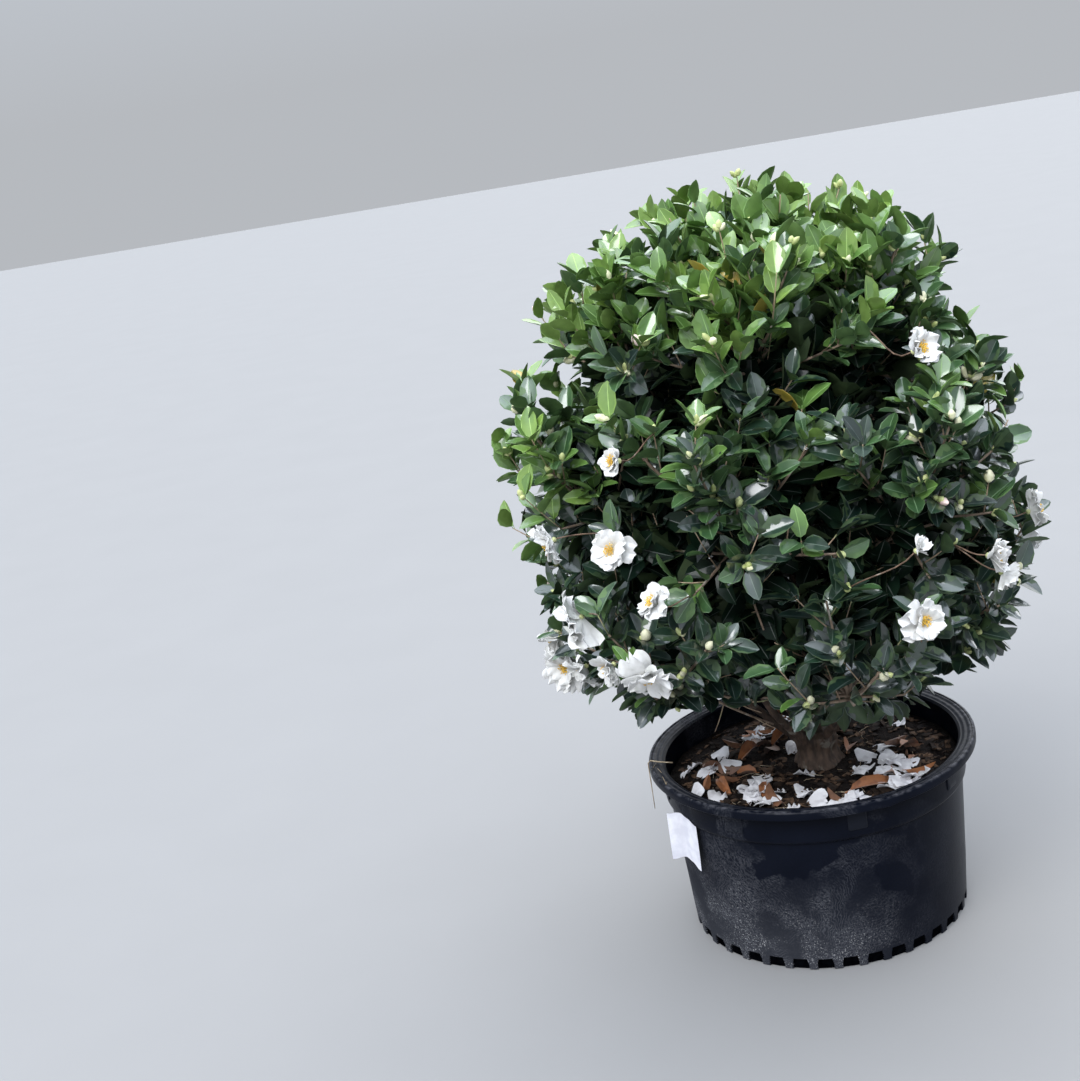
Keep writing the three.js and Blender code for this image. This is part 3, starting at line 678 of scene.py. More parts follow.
def pot_profile():
    """Radius and height of each row of points, from the underside round the lip to the inner floor"""
    rows = []

    def near(radius, height, *offsets):
        rows.extend((radius + dr, height + dh) for dr, dh in offsets)

    near(0, 0, (0, 0), (0.15, 0))
    near(BASE_RADIUS, 0, (-0.030, 0), (-NOTCH_REACH - 0.001, 0), (-0.0012, 0))
    wall = [0.0012, 0.004, 0.009, 0.013, 0.017, 0.0200, 0.0217, 0.0223, 0.0250, 0.029, 0.034]
    wall += [*np.arange(0.042, BAND_FOOT - 0.006, 0.0125), BAND_FOOT - 0.001]
    rows += [(wall_radius(h), h) for h in wall]
    near(BAND_RADIUS, BAND_FOOT, (-0.0058, 0.0006), (-0.0022, 0.0026), (-0.0008, 0.0048))
    rows += [(BAND_RADIUS, h) for h in np.linspace(BAND_FOOT + 0.008, BAND_TOP - 0.004, 6)]
    near(BAND_RADIUS, BAND_TOP, (0.0012, -0.001), (0.004, 0))
    near(RIM_RADIUS, BAND_TOP, (-0.010, 0), (-0.0014, 0.0002), (-0.0002, 0.0014), (0, 0.005))
    # The lip rolls over into a flange with two soft ridges, which slopes in to the pot's mouth
    near(RIM_RADIUS, POT_HEIGHT, (-0.0002, -0.0048), (-0.0012, -0.0022), (-0.0032, -0.0005), (-0.0056, 0))
    for share in np.linspace(0.22, 0.92, 16):
        ridge = 0.0007 * math.cos(share * 6 * math.pi) - 0.0007
        near(RIM_RADIUS, POT_HEIGHT, (-share * RIM_FLANGE_WIDTH, -0.0044 * share + ridge))
    near(RIM_RADIUS - RIM_FLANGE_WIDTH, POT_HEIGHT, (0.0004, -0.0064), (-0.0018, -0.0085))
    inner_top = BAND_RADIUS - POT_WALL - 0.003
    rows += [(inner_top, h) for h in (BAND_TOP - 0.006, BAND_TOP - 0.020, SOIL_EDGE_TOP + 0.004)]
    rows += [(wall_radius(h) - POT_WALL, h) for h in (BAND_FOOT, 0.038)]
    return rows + [(BEHIND_NOTCHES, NOTCH_HEIGHT + 0.006), (BEHIND_NOTCHES, POT_FLOOR), (0, POT_FLOOR)]


def pot_shape():
    # Columns from one notch's middle to the next, as multiples of half its width, with those at
    # its edges close together for a crisp edge
    pitch = 2 * math.pi / NOTCH_COUNT
    half = NOTCH_WIDTH / 2 / BASE_RADIUS
    places = [-1.04, -0.96, -0.5, 0, 0.5, 0.96, 1.04]
    places += [1.04 + (pitch / half - 2.08) * share for share in (0.25, 0.5, 0.75)]
    from_notch = np.tile(places, NOTCH_COUNT)
    azimuths = (np.repeat(np.arange(NOTCH_COUNT), len(places)) + 0.5) * pitch + from_notch * half
    at_notch = np.abs(from_notch) < 1.1
    rows = []
    for radius, h in pot_profile():
        angle, r, z = azimuths.copy(), np.full(len(azimuths), float(radius)), h
        if radius > BASE_RADIUS - 0.002 and h < 0.028:
            # A notch is narrower towards its arched top, and pushes the wall in
            narrowing = max(0.72, 1 - (min(h, NOTCH_HEIGHT) / NOTCH_HEIGHT) ** 6) ** 0.5
            angle[at_notch] -= from_notch[at_notch] * half * (1 - narrowing)
            r[(np.abs(from_notch) < 1) & (h < NOTCH_HEIGHT)] -= NOTCH_REACH
        if h > 0.02 and radius > 0.2:
            r += DENT_DEPTH * ripple(ring(1, angle, h * 2.2), 1.1, 5, 2) * smoothstep(h, 0.02, 0.1)
        if h > BAND_TOP - 0.01:
            kink = 0.0022 * np.exp(-(((np.degrees(angle) - RIM_KINK_AZIMUTH) / 2.2) ** 2)) * (radius > 0.296)
            z = np.minimum(h + 0.0009 * ripple(ring(1, angle, 0), 1.3, 8, 1) - kink, POT_HEIGHT)
        rows.append(ring(r, angle, z))
    shell = skin(rows)
    middles = shell.points[shell.faces].mean(axis=1)
    radii = np.hypot(middles[:, 0], middles[:, 1])
    set_in = (radii < BASE_RADIUS - 0.0015) & (radii > BASE_RADIUS - NOTCH_REACH - 0.0015)
    # The notches' set-in faces take slot 1, a near-black finish without shine: painted shade in the recesses
    shell.slots[set_in & (middles[:, 2] > 0.0005) & (middles[:, 2] < NOTCH_HEIGHT + 0.0004)] = 1
    return shell


def pad_shape(azimuth):
    """One raised pad on the band, a plate that follows its curve"""
    half = PAD_WIDTH / 2 / BAND_RADIUS
    columns = np.radians(azimuth) + half * np.array([-1, -0.97, -0.5, 0, 0.5, 0.97, 1])
    rows = BAND_TOP - PAD_HEIGHT / 2 + 0.0005 + PAD_HEIGHT / 2 * np.array([-1, -0.97, -0.4, 0.4, 1])
    angle, z = np.meshgrid(columns, rows)
    edge = 0.0006 * ((np.abs(angle - np.radians(azimuth)) > 0.98 * half) | (z < rows[0] + 1e-6))
    proud = BAND_RADIUS + PAD_PROUD - PAD_THICKNESS / 2 - edge
    return sheet(np.stack([proud * np.cos(angle), proud * np.sin(angle), z], axis=-1), PAD_THICKNESS, 2)


def make_pot():
    """The shell, the insides of its notches painted near black as painted shade, and the pads, painted a
    little paler as a painted highlight
    """
    pads = [pad_shape(PAD_FIRST_AZIMUTH + i * 360 / PAD_COUNT) for i in range(PAD_COUNT)]
    wall = plastic_material("black_plastic", (0.0012, 0.0020, 0.0052), (0.0045, 0.0062, 0.0125))
    # Painted shade: near black and without shine, for the insides of the notches
    shaded = chip_material("painted_shade_plastic", (0.0005, 0.0006, 0.0010), (0.0020, 0.0023, 0.0032), 0.0)
    # The pads are painted paler than the wall: a painted highlight on their faces
    worn_and_highlit = plastic_material("pads_painted_highlight", (0.0070, 0.0085, 0.0135), (0.0120, 0.0140, 0.0200))
    make_piece("pot_shell", joined([pot_shape(), *pads]), [wall, shaded, worn_and_highlit], ["pot"], 32)


# The potting mix and what has fallen on it

def soil_height(x, y):
    """Height of the mix: a slight mound at the stems, with hollows and crumbs"""
    x, y = np.atleast_1d(x), np.atleast_1d(y)
    radius = np.hypot(x, y)
    mound = SOIL_MOUND * (1 - smoothstep(radius, SOIL_CROWN_RADIUS, SOIL_RADIUS))
    flat = np.stack([x, y, np.zeros_like(x)], axis=1)
    calm = 1 - 0.8 * np.exp(-((radius / 0.05) ** 2))
    uneven = 0.0042 * ripple(flat, 0.13, 21, 2) + SOIL_ROUGHNESS * ripple(flat, 0.018, 22, 2)
    return SOIL_EDGE_TOP + mound + uneven * calm


def soil_shape():
    angles = circle(190)
    narrow = BEHIND_NOTCHES - SOIL_GAP
    corners = [(0, POT_FLOOR + 0.0003), (narrow, POT_FLOOR + 0.0003), (narrow, 0.029)]
    corners += [(wall_radius(h) - POT_WALL - SOIL_GAP, h) for h in (0.042, BAND_FOOT)]
    rows = [ring(radius, angles, h) for radius, h in corners]
    for radius in [*np.linspace(0.008, SOIL_RADIUS, 52)[::-1], 0]:
        top = ring(radius, angles, 0.0)
        top[:, 2] = soil_height(top[:, 0], top[:, 1])
        rows.append(top)
    return skin(rows)


def soil_place(rng, low=0.05, high=SOIL_RADIUS - 0.012):
    """A place on the mix, clear of the trunk"""
    while True:
        radius = math.sqrt(rng.uniform(low**2, high**2))
        angle = rng.uniform(0, 2 * math.pi)
        x, y = radius * math.cos(angle), radius * math.sin(angle)
        if math.hypot(x - TRUNK_AT[0], y - TRUNK_AT[1]) > TRUNK_FLARE + 0.006:
            return x, y


def chip_shape(rng):
    """A flake of bark of about unit length"""
    x = np.linspace(-0.5, 0.5, 4)
    y = np.array([-1, 0, 1]) * rng.uniform(0.14, 0.30)
    grid = np.stack([*np.meshgrid(x, y, indexing="ij"), np.zeros((4, 3))], axis=-1)
    grid += rng.normal(0, 0.045, grid.shape)
    return sheet(grid[:, ::-1], rng.uniform(0.06, 0.16))


def make_soil():
    make_piece("potting_mix_top", soil_shape(), [mix_material()], ["potting_mix"], 50)
    rng = np.random.default_rng(31)
    chips = []
    for variant in range(CHIP_KINDS):
        flake = chip_shape(rng)
        x, y = np.array([soil_place(rng) for _ in range(CHIPS_OF_A_KIND)]).T
        sizes = rng.gamma(3.0, 0.0032, len(x)) + 0.004
        origins = np.stack([x, y, soil_height(x, y) + 0.0008 + 0.06 * sizes], axis=1)
        along = rng.normal(size=(len(x), 3)) * np.array([1, 1, 0.16])
        facing = UP + rng.normal(0, 0.22, (len(x), 3))
        chips.append(copies(flake, origins, facing_frames(along, facing), sizes))
        chips[-1].slots[:] = variant % 2
    brown = chip_material("bark_chips", (0.004, 0.003, 0.003), (0.030, 0.018, 0.012))
    tan = chip_material("pale_chips", (0.014, 0.009, 0.007), (0.150, 0.090, 0.055))
    make_piece("bark_chips_on_mix", joined(chips), [brown, tan], (), 40)


def make_fibres():
    """Thin pale fibres on the mix, straws on the flange, and a dry stalk hanging over the rim"""
    rng = np.random.default_rng(37)
    strands = []
    for _ in range(FIBRES):
        x, y = soil_place(rng)
        length, heading, bend = rng.uniform(0.010, 0.045), rng.uniform(0, 360), rng.uniform(-50, 50)
        run = np.linspace(0, length, 5)
        angles = np.radians(heading + bend * run / length)
        path_x = np.clip(x + run * np.cos(angles), -0.19, 0.19)
        path_y = np.clip(y + run * np.sin(angles), -0.19, 0.19)
        path = np.stack([path_x, path_y, soil_height(path_x, path_y) + rng.uniform(0.001, 0.004)], axis=1)
        if np.linalg.norm(np.diff(path, axis=0), axis=1).min() > 0.001:
            strands.append(tube(path, np.linspace(0.0005, 0.0003, 5), 4))
    for azimuth, turn, length in STRAWS:
        start = polar(RIM_RADIUS - 0.014, azimuth, POT_HEIGHT - 0.0012)
        step = polar(length, azimuth + turn, 0.0)
        path = np.array([start, start + step * 0.5 + UP * 0.0006, start + step])
        strands.append(tube(path, [0.0006] * 3, 4))
    stalk = np.array([polar(RIM_RADIUS + out, azimuth, POT_HEIGHT + up) for out, azimuth, up, _ in STALK])
    strands.append(tube(stalk, [radius for *_, radius in STALK], 6))
    straw = chip_material("straw", (0.30, 0.22, 0.13), (0.62, 0.52, 0.38))
    make_piece("fibres_and_straw", joined(strands), [straw])


# The bare label card

def make_tag():
    """A right panel that lies along the band, and a left one that is folded out, more so at its foot"""
    _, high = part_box("label_tag")
    rows, columns = 14, 17
    grid = np.zeros((rows, columns, 3))
    for i, down in enumerate(np.linspace(0, 1, rows)):
        fold = lerp(*FLAP_ANGLE, down)
        for j, run in enumerate(np.linspace(-TAG_FLAP, TAG_PANEL, columns)):
            # The direction turns over a few millimetres at the fold, and the panel bows with the band
            bent = 0.5 * (run - math.sqrt(run * run + TAG_FOLD_SIZE**2))
            azimuth = TAG_FOLD_AZIMUTH + math.degrees((run - bent) / BAND_RADIUS)
            lifted = 0.0008 + 0.0025 * down**2 * smoothstep(run, 0.01, TAG_PANEL)
            away = polar(-bent, TAG_FOLD_AZIMUTH - 90 + fold, 0)
            sag = 0.26 * max(run, 0) + 0.0012 * math.sin(9 * run / TAG_PANEL)
            height = high.z - sag - down * TAG_HEIGHT
            grid[i, j] = polar(BAND_RADIUS + lifted, azimuth, 0) + away + UP * height
    card = sheet(grid[:, ::-1], TAG_THICKNESS)
    make_piece("label_card", card, [card_material()], ["label_tag"], 40)


# Trunk, stems and boughs

def trunk_shape():
    angles = circle(48)
    rows = [np.tile(TRUNK_AT, (48, 1))]
    for share in np.linspace(0, 1, 18):
        flare = (TRUNK_FLARE - TRUNK_NECK) * (1 - share) ** 3
        head = (TRUNK_HEAD - TRUNK_NECK) * smoothstep(share, 0.35, 0.85)
        radius = TRUNK_NECK + flare + head - TRUNK_SHOULDER * smoothstep(share, 0.85, 1)
        knobs = 1 + 0.06 * np.sin(3 * angles + 4 * share) + 0.05 * np.sin(5 * angles + 1)
        knobs += 0.035 * np.sin(9 * angles + 5 * share)
        middle = TRUNK_AT + np.array([TRUNK_LEAN * share, 0, TRUNK_HEIGHT * share])
        rows.append(ring(radius * knobs, angles, 0.0) + middle)
    top = rows[-1] - TRUNK_TOP
    rows += [top * scale + TRUNK_TOP + UP * 0.004 * (1 - scale) for scale in (0.5, 0.0)]
    return skin(rows)


def grow_stems(around):
    """Stems leave the trunk's head round a ring, and lean out to their forks"""
    stems = []
    for i in range(around["count"]):
        azimuth = around["first_azimuth"] + i * 360 / around["count"]
        seat = TRUNK_TOP + polar(around["seat"], azimuth, -STEM_SUNK)
        height = around["fork_height"] + FORK_UNEVENNESS * math.sin(2.4 * i + 0.5)
        fork = polar(around["fork_radius"], azimuth, height)
        fork[0] += CROWN["x"] / 2
        heading = unit(polar(around["spread"] * 0.45, azimuth + 12, 1))
        path = sweep(seat, polar(around["spread"], azimuth, 1), fork, heading, 30)
        stems.append(dict(azimuth=azimuth, fork=fork, heading=heading, path=path, radii=around["radii"]))
    return stems


def place_masses(outer, inner):
    """The middles of the masses of foliage, each with the stem that its bough forks from"""
    masses = []

    def place(tier, stem, azimuth, radius, h):
        middle = polar(radius, azimuth, h)
        middle[0] += CROWN["x"]
        masses.append(dict(tier=tier, stem=stem, middle=middle, outward=unit(middle - OUTWARD_FROM)))

    for name, tier in (("low", LOW_TIER), ("middle", MIDDLE_TIER)):
        for i, stem in enumerate(outer):
            h = tier["height"] + tier["unevenness"] * math.sin(1.9 * i + 1)
            place(name, stem, stem["azimuth"] + tier["turn"], tier["radius"], h)
    count = UPPER_TIER["count"]
    for i in range(count):
        stem = inner[int(i * len(inner) / count + 0.3) % len(inner)]
        h = UPPER_TIER["height"] + UPPER_TIER["unevenness"] * (i % 2)
        place("upper", stem, INNER_STEMS["first_azimuth"] + i * 360 / count, UPPER_TIER["radius"], h)
    place("top", inner[-1], TOP_TIER["azimuth"], TOP_TIER["radius"], TOP_TIER["height"])
    return masses


def add_bough(mass):
    """Each bough forks from its stem's tip and ends where it enters its mass"""
    fork, heading = mass["stem"]["fork"], mass["stem"]["heading"]
    way = unit(mass["middle"] - fork)
    end = lerp(fork, mass["middle"], BOUGH_SHARE)
    arriving = way + UP * (0.1 if mass["tier"] == "low" else 0.35)
    mass["bough"] = sweep(fork - 0.003 * heading, way + 0.8 * heading, end, arriving, 18)
    mass["heading"] = unit(arriving)


def gathered(items, name, kind=np.float32):
    """A vector of each item of a Blender collection, as one array"""
    values = np.zeros(len(items) * 3, kind)
    items.foreach_get(name, values)
    return values.reshape(-1, 3)


def merged_limbs(shape):
    """Limbs merged into one skin by a voxel remesh: its points, their normals and its triangles"""
    rough = linked("limbs", mesh_of("limbs", shape))
    remesh = rough.modifiers.new("merge", "REMESH")
    remesh.mode = "VOXEL"
    remesh.voxel_size = BARK_GRAIN
    remesh.use_smooth_shade = True
    evaluated = rough.evaluated_get(bpy.context.evaluated_depsgraph_get())
    merged = evaluated.to_mesh()
    merged.calc_loop_triangles()
    points, normals = (gathered(merged.vertices, name).astype(float) for name in ("co", "normal"))
    faces = gathered(merged.loop_triangles, "vertices", np.int32)
    evaluated.to_mesh_clear()
    bpy.data.objects.remove(rough)
    return points, normals, faces


def make_limbs(stems, masses):
    limbs = [trunk_shape()]
    limbs += [tube(stem["path"], np.linspace(*stem["radii"], len(stem["path"])), 12) for stem in stems]
    limbs += [tube(mass["bough"], np.linspace(*BOUGH_RADII, len(mass["bough"])), 10) for mass in masses]
    points, normals, faces = merged_limbs(joined(limbs))
    # Relief: gnarled on the trunk, long shallow ridges on the stems
    thickness = 1 - smoothstep(points[:, 2], TRUNK_TOP[2] - 0.01, TRUNK_TOP[2] + 0.12)
    ridges = lerp(0.0004, 0.0010, thickness) * ripple(points * np.array([1, 1, 0.3]), 0.011, 41, 2)
    knots = lerp(0.0004, 0.0024, thickness) * ripple(points, 0.034, 42, 2)
    points = points + normals * (ridges + knots)[:, None]
    points[:, 2] = np.maximum(points[:, 2], soil_height(points[:, 0], points[:, 1]) - 0.004)
    replaced = [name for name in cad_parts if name.startswith(("trunk", "stem_", "bough_"))]
    bark = bark_material("bark", (0.028, 0.018, 0.012), (0.120, 0.076, 0.052), (0.20, 0.175, 0.140), 0.40)
    make_piece("bark_limbs", Shape(points, faces), [bark], replaced)


# The crown's outline and each mass's own space

def fullness(points):
    """How far out in the crown points are: 0 at its middle and 1 on its outline"""
    points = np.atleast_2d(points)
    rise = points[:, 2] - CROWN["middle"]
    above = rise > 0
    power = np.where(above, POWER_ABOVE, POWER_BELOW)
    reach = np.where(above, CROWN["top"] - CROWN["middle"], CROWN["middle"] - CROWN["foot"])
    wide = np.hypot((points[:, 0] - CROWN["x"]) / CROWN["half_width"], points[:, 1] / CROWN["half_depth"])
    return wide**power + (np.abs(rise) / reach) ** power


def room_along(start, direction, mass, masses, limit):
    """How far from a point in a direction it stays inside the crown and nearest to its own mass"""
    distances = np.arange(0.006, 0.40, 0.006)
    points = start + distances[:, None] * direction
    inside = fullness(points) < limit
    for other in masses:
        if other is not mass:
            apart = other["middle"] - mass["middle"]
            halfway = mass["middle"] + apart / 2
            inside &= (points - halfway) @ unit(apart) < -MASS_GAP / 2
    return 0.0 if not inside[0] else float(distances[-1] if inside.all() else distances[np.argmin(inside)])


def is_open(point):
    """Whether a point is under the crown's lower edge, or in one of the openings in its front"""
    if point[2] < np.interp(point[0], SKIRT_X, SKIRT_HEIGHT) - SKIRT_SLOPE * min(point[1], 0.0):
        return True
    return any(np.linalg.norm(point - np.array(centre)) < radius for centre, radius in HOLLOWS)


# Leaves, buds and blossom

# The pale rim is partly the margin's own paler colour and partly a painted highlight along the leaf's edge
RIB, RIM_FROM = 0.045, 0.915  # half the rib's width, and where the pale rim starts, as shares
PETAL_THICKNESS = 0.0005
STAMENS = 46
LEAF_POINT = 0.9  # under 1 puts a leaf's widest place nearer to its foot
LEAF_SPANS = [(-0.06, 0.28), (0.12, 0.62), (-0.40, 0.40), (0.53, 0.70)]  # of bend, fold, twist, width
BUD_ROWS = [  # place and radius, of unit length
    (0.0, 0.10), (0.10, 0.27), (0.28, 0.41), (0.34, 0.37),
    (0.56, 0.42), (0.80, 0.27), (0.93, 0.12), (1.0, 0.0),
]


def strip(one, other):
    """Triangles between two lines of points with the same number of points"""
    near = np.stack([one[:-1], other[1:], other[:-1]], axis=1)
    return np.concatenate([near, np.stack([one[:-1], one[1:], other[1:]], axis=1)])


def leaf_shape(bend, fold, twist, width, plain=False):
    """A leaf of unit length on a short stalk, a thin closed blade with a raised pale rim and rib, the rim's
    paleness partly a painted highlight. Material 0 is its upper face, 1 its lower face and stalk, 2 its rib
    and rim. A plain leaf is coarser, for places deep in the crown"""
    stations = np.array([0.12, 0.48, 0.84] if plain else [0.10, 0.36, 0.66, 0.89])[:, None]
    sides = np.array([-1, -RIB, RIB, 1] if plain else [-1, -RIM_FROM, -RIB, RIB, RIM_FROM, 1])
    half = width / 2 * np.sin(math.pi * stations**LEAF_POINT) ** 0.66
    y = sides * half
    z = fold * half * np.abs(sides) ** 1.35 - 0.006 * (np.abs(sides) == RIB)
    angle, drop = twist * stations, bend * stations**2
    leaning = y * np.cos(angle) - z * np.sin(angle)
    height = y * np.sin(angle) + z * np.cos(angle) - drop
    top = np.stack([stations + 0 * y, leaning, height], axis=-1).reshape(-1, 3)
    bottom = np.hstack([stations, 0 * stations, -0.016 - drop])
    rows, wide = y.shape
    under, foot, tip = rows * wide, rows * (wide + 1), rows * (wide + 1) + 1
    lines = [np.array([foot, *range(j, under, wide), tip]) for j in range(wide)]
    spine = np.array([foot, *range(under, foot), tip])
    faces = [strip(a, b) for a, b in zip(lines, lines[1:])]
    faces += [strip(lines[-1], spine), strip(lines[0], spine)[:, ::-1]]
    kinds = [0 if a * b > 0 and abs(a - b) > 0.1 else 2 for a, b in zip(sides, sides[1:])] + [1, 1]
    points = np.concatenate([top, bottom, [(0.0, 0.0, -0.004), (1.0, 0.0, -bend)]])
    blade = Shape(points, np.concatenate(faces), np.repeat(kinds, 2 * (rows + 1)))
    return joined([blade, tube(np.array([[-0.11, 0, -0.012], [0.10, 0, -0.012]]), [0.014, 0.008], 3, 1)])


def leaf_variants(plain=False):
    """Leaves from nearly flat to well folded and rolled back"""
    rng = np.random.default_rng(51)
    return [leaf_shape(*[rng.uniform(*span) for span in LEAF_SPANS], plain) for _ in range(9)]


def bud_shape(plump, point=1.0):
    """A round bud of unit length with overlapping scales, along X"""
    angles = circle(7)
    rows = [np.tile([-0.02, 0.0, 0.0], (7, 1))]
    for share, swell in BUD_ROWS:
        radius = swell * plump * (1 + 0.06 * np.cos(2.5 * angles + 9 * share))
        rows.append(ring(radius, angles, share * point)[:, [2, 0, 1]])
    return skin(rows)


def petal_grid(rng, length, width, opening, ruffle, rows=7, columns=9):
    """A petal on its way out from a flower's axis, Z: steep at its foot, flaring to its notched edge"""
    u = np.linspace(0.0, 1.0, rows)[:, None]
    v = np.linspace(-1, 1, columns)[None, :]
    phase, waves = rng.uniform(0, 2 * math.pi), rng.uniform(2.2, 3.4)
    notch = rng.uniform(0.04, 0.12) * np.exp(-((v / 0.20) ** 2)) + 0.16 * v**4
    reach = u * (1 - notch * u**2)
    half = width / 2 * (0.16 + 0.84 * np.sin(np.clip(u * 0.62 + 0.04, 0, 1) * math.pi) ** 1.1)
    tilt = np.radians(lerp(62, -12, opening)) + (1 - u) * 0.75 - u * 0.35 * opening
    steps = np.diff(reach, axis=0, prepend=0)
    out, rise = (np.cumsum(steps * turn(tilt), axis=0) for turn in (np.cos, np.sin))
    wave = ruffle * u**1.6 * np.sin(waves * math.pi * v + phase + 1.3 * u)
    cup = 0.16 * half / width * v**2 * (1 - 0.5 * opening)
    grid = np.stack([out * length, v * half, (rise + wave + cup) * length], axis=-1)
    return grid + rng.normal(0, 0.006 * length, grid.shape) * u[..., None] ** 2


def blossom_shape(rng, size, opening):
    """A loose flower facing +Z: one or two whorls of ruffled petals, a tuft of stamens, a green calyx.
    Material 0 is petal, 1 filament, 2 anther, 3 calyx"""
    parts = []
    length = size * 0.56
    whorls = [(5, 1.0, 1.0, 0.0, 0), (4, 0.82, 0.80, 0.0022, 88)]
    for count, scale, openness, lift, offset in whorls[: 2 if size > 0.045 else 1]:
        for i in range(count):
            wide = length * scale * rng.uniform(1.05, 1.40)
            opened = opening * openness * rng.uniform(0.55, 1.30)
            long = length * scale * rng.uniform(0.85, 1.1)
            grid = petal_grid(rng, long, wide, opened, rng.uniform(0.08, 0.17))
            grid = spun(grid, "X", rng.uniform(-30, 30)) + np.array([0.0022, 0, lift])
            azimuth = (i + rng.uniform(-0.22, 0.22)) * 360 / count + offset
            parts.append(sheet(spun(grid, "Z", azimuth)[:, ::-1], PETAL_THICKNESS))
    if opening > 0.4:
        for i in range(STAMENS):
            lean = 0.62 * math.sqrt(i / STAMENS) * rng.uniform(0.7, 1.2)
            direction = unit(polar(lean, i * GOLDEN_ANGLE, 1))
            tip = direction * rng.uniform(0.014, 0.021)
            parts.append(tube(np.array([direction * 0.001, tip]), [0.00032, 0.00022], 3, 1))
            parts.append(tube(np.array([tip, tip + direction * 0.0016]), [0.0012, 0.0009], 4, 2))
    axes = facing_frames([UP], [[1.0, 0, 0]])
    parts.append(copies(bud_shape(1.25, 0.9), [[0, 0, -0.0075]], axes, [0.0095]))
    parts[-1].slots[:] = 3
    return joined(parts)


# Growing the foliage

TINTS = ["deep", "dark", "middle", "fresh", "pale", "yellowing", "inner"]
TINT_LIMITS = [0.14, 0.36, 0.60, 0.92]
YELLOWING_SHARE = 0.004


class Plant:
    """What has grown so far: twigs as tubes, and places for leaves and buds"""

    def __init__(self):
        self.twigs = []
        self.shoots = []
        self.leaves = {tint: [] for tint in TINTS}
        self.buds = {kind: [] for kind in ("green", "cream", "pink")}
        self.twig_points = []


def spray_tint(rng, point, outness, is_shoot=False):
    """Lighter towards the top and the outer left, darker and bluer low down and inside"""
    # Partly the leaves' own colour, younger and paler above, and partly painted light and shade
    high = (point[2] - 0.55) / 0.85
    left = max(0.0, -point[0] - 0.28) * 1.2
    # The outness term is painted light: lighter near the crown's outline, darker inside it as painted shade
    value = 0.76 * high + 0.16 * high**3 + left + 0.25 * (outness - 0.7) + rng.normal(0, 0.15)
    value += 0.28 if is_shoot else 0
    return int(np.searchsorted(TINT_LIMITS, value, side="right"))


def leaf_tint(rng, spray):
    """A leaf takes its spray's tint, or the next one lighter or darker; a very few are yellowing"""
    if rng.random() < YELLOWING_SHARE:
        return "yellowing"
    step = rng.choice([-1, 0, 1], p=[0.14, 0.70, 0.16])
    return TINTS[min(max(spray + step, 0), len(TINT_LIMITS))]


def leaf_facing(rng, foot, axis):
    """A leaf turns its face up, towards its twig's end, and a little away from the shrub's middle"""
    outward = unit(np.array([foot[0] - CROWN["x"], foot[1], 0.0]) + 1e-9)
    return 0.95 * axis + 0.45 * UP + 0.22 * outward + rng.normal(0, 0.28, 3)


def put_leaf(plant, rng, spray, foot, along, axis, size):
    """A leaf on a twig with a given axis, unless its tip would leave the crown"""
    along = unit(along)
    tip = foot + along * size
    if fullness(tip)[0] > 1.0 or is_open(tip) or is_open(foot):
        return
    tint = leaf_tint(rng, spray)
    # Deep in the crown a leaf takes the nearly black inner tint, as painted shade
    if fullness(foot)[0] < PAINTED_SHADE_WITHIN:
        tint = "inner"
        size *= INNER_SWELL
    plant.leaves[tint].append((foot + along * 0.11 * size, along, leaf_facing(rng, foot, axis), size))


def put_bud(plant, rng, foot, along):
    """A round bud; the cream and the pink ones are nearer to opening, and larger"""
    along = unit(along + rng.normal(0, 0.25, 3))
    kind = rng.choice(["green", "cream", "pink"], p=[0.68, 0.28, 0.04])
    size = BUD_LENGTH * rng.uniform(0.80, 1.10) * (1.0 if kind == "green" else rng.uniform(1.0, 1.60))
    plant.buds[kind].append((foot + along * 0.001, along, UP + rng.normal(0, 0.3, 3), size))


def clothe(plant, rng, path, tint, first, is_shoot=False):
    """Leaves by turns up a twig, and a rosette with buds round its tip; higher up they are steeper"""
    total = length_of(path)
    scale = SHOOT_LEAF_SCALE if is_shoot else 1
    turn = rng.uniform(0, 360)
    for distance in np.arange(first, total - 0.007, LEAF_SPACING * scale):
        point, direction = point_along(path, distance / total)
        if fullness(point)[0] < LEAVES_FROM:
            turn += LEAF_TURN
            continue
        out = turned(across(direction), direction, turn)
        steep = smoothstep(point[2], 0.95, 1.20)
        along = out * lerp(0.74, 0.50, steep) + direction * lerp(0.64, 0.90, steep) + rng.normal(0, 0.12, 3)
        put_leaf(plant, rng, tint, point, along, direction, LEAF_LENGTH * rng.uniform(0.82, 1.12) * scale)
        if not is_shoot and fullness(point)[0] > 0.6 and rng.random() < 0.06:
            put_bud(plant, rng, point, out + direction)
        turn += LEAF_TURN + rng.uniform(-14, 14)
    tip, direction = point_along(path, 1.0)
    if fullness(tip)[0] < LEAVES_FROM:
        return
    count = 3 if rng.random() < 0.55 else 4
    for i in range(count):
        out = turned(across(direction), direction, turn + i * 360 / count + rng.uniform(-18, 18))
        along = out * rng.uniform(0.55, 0.85) + direction * lerp(0.62, 1.05, smoothstep(tip[2], 0.95, 1.20))
        size = LEAF_LENGTH * rng.uniform(0.70, 1.08)
        put_leaf(plant, rng, tint, tip - direction * 0.003 * i, along, direction, size)
    if fullness(tip)[0] > 0.60 and not is_open(tip) and rng.random() < (0.30 if is_shoot else 0.78):
        for i in range(rng.choice([1, 2, 3], p=[0.30, 0.40, 0.30])):
            side = turned(across(direction), direction, turn + 130 * i)
            put_bud(plant, rng, tip - direction * 0.002 * i, direction + (0.9 * side if i else 0))


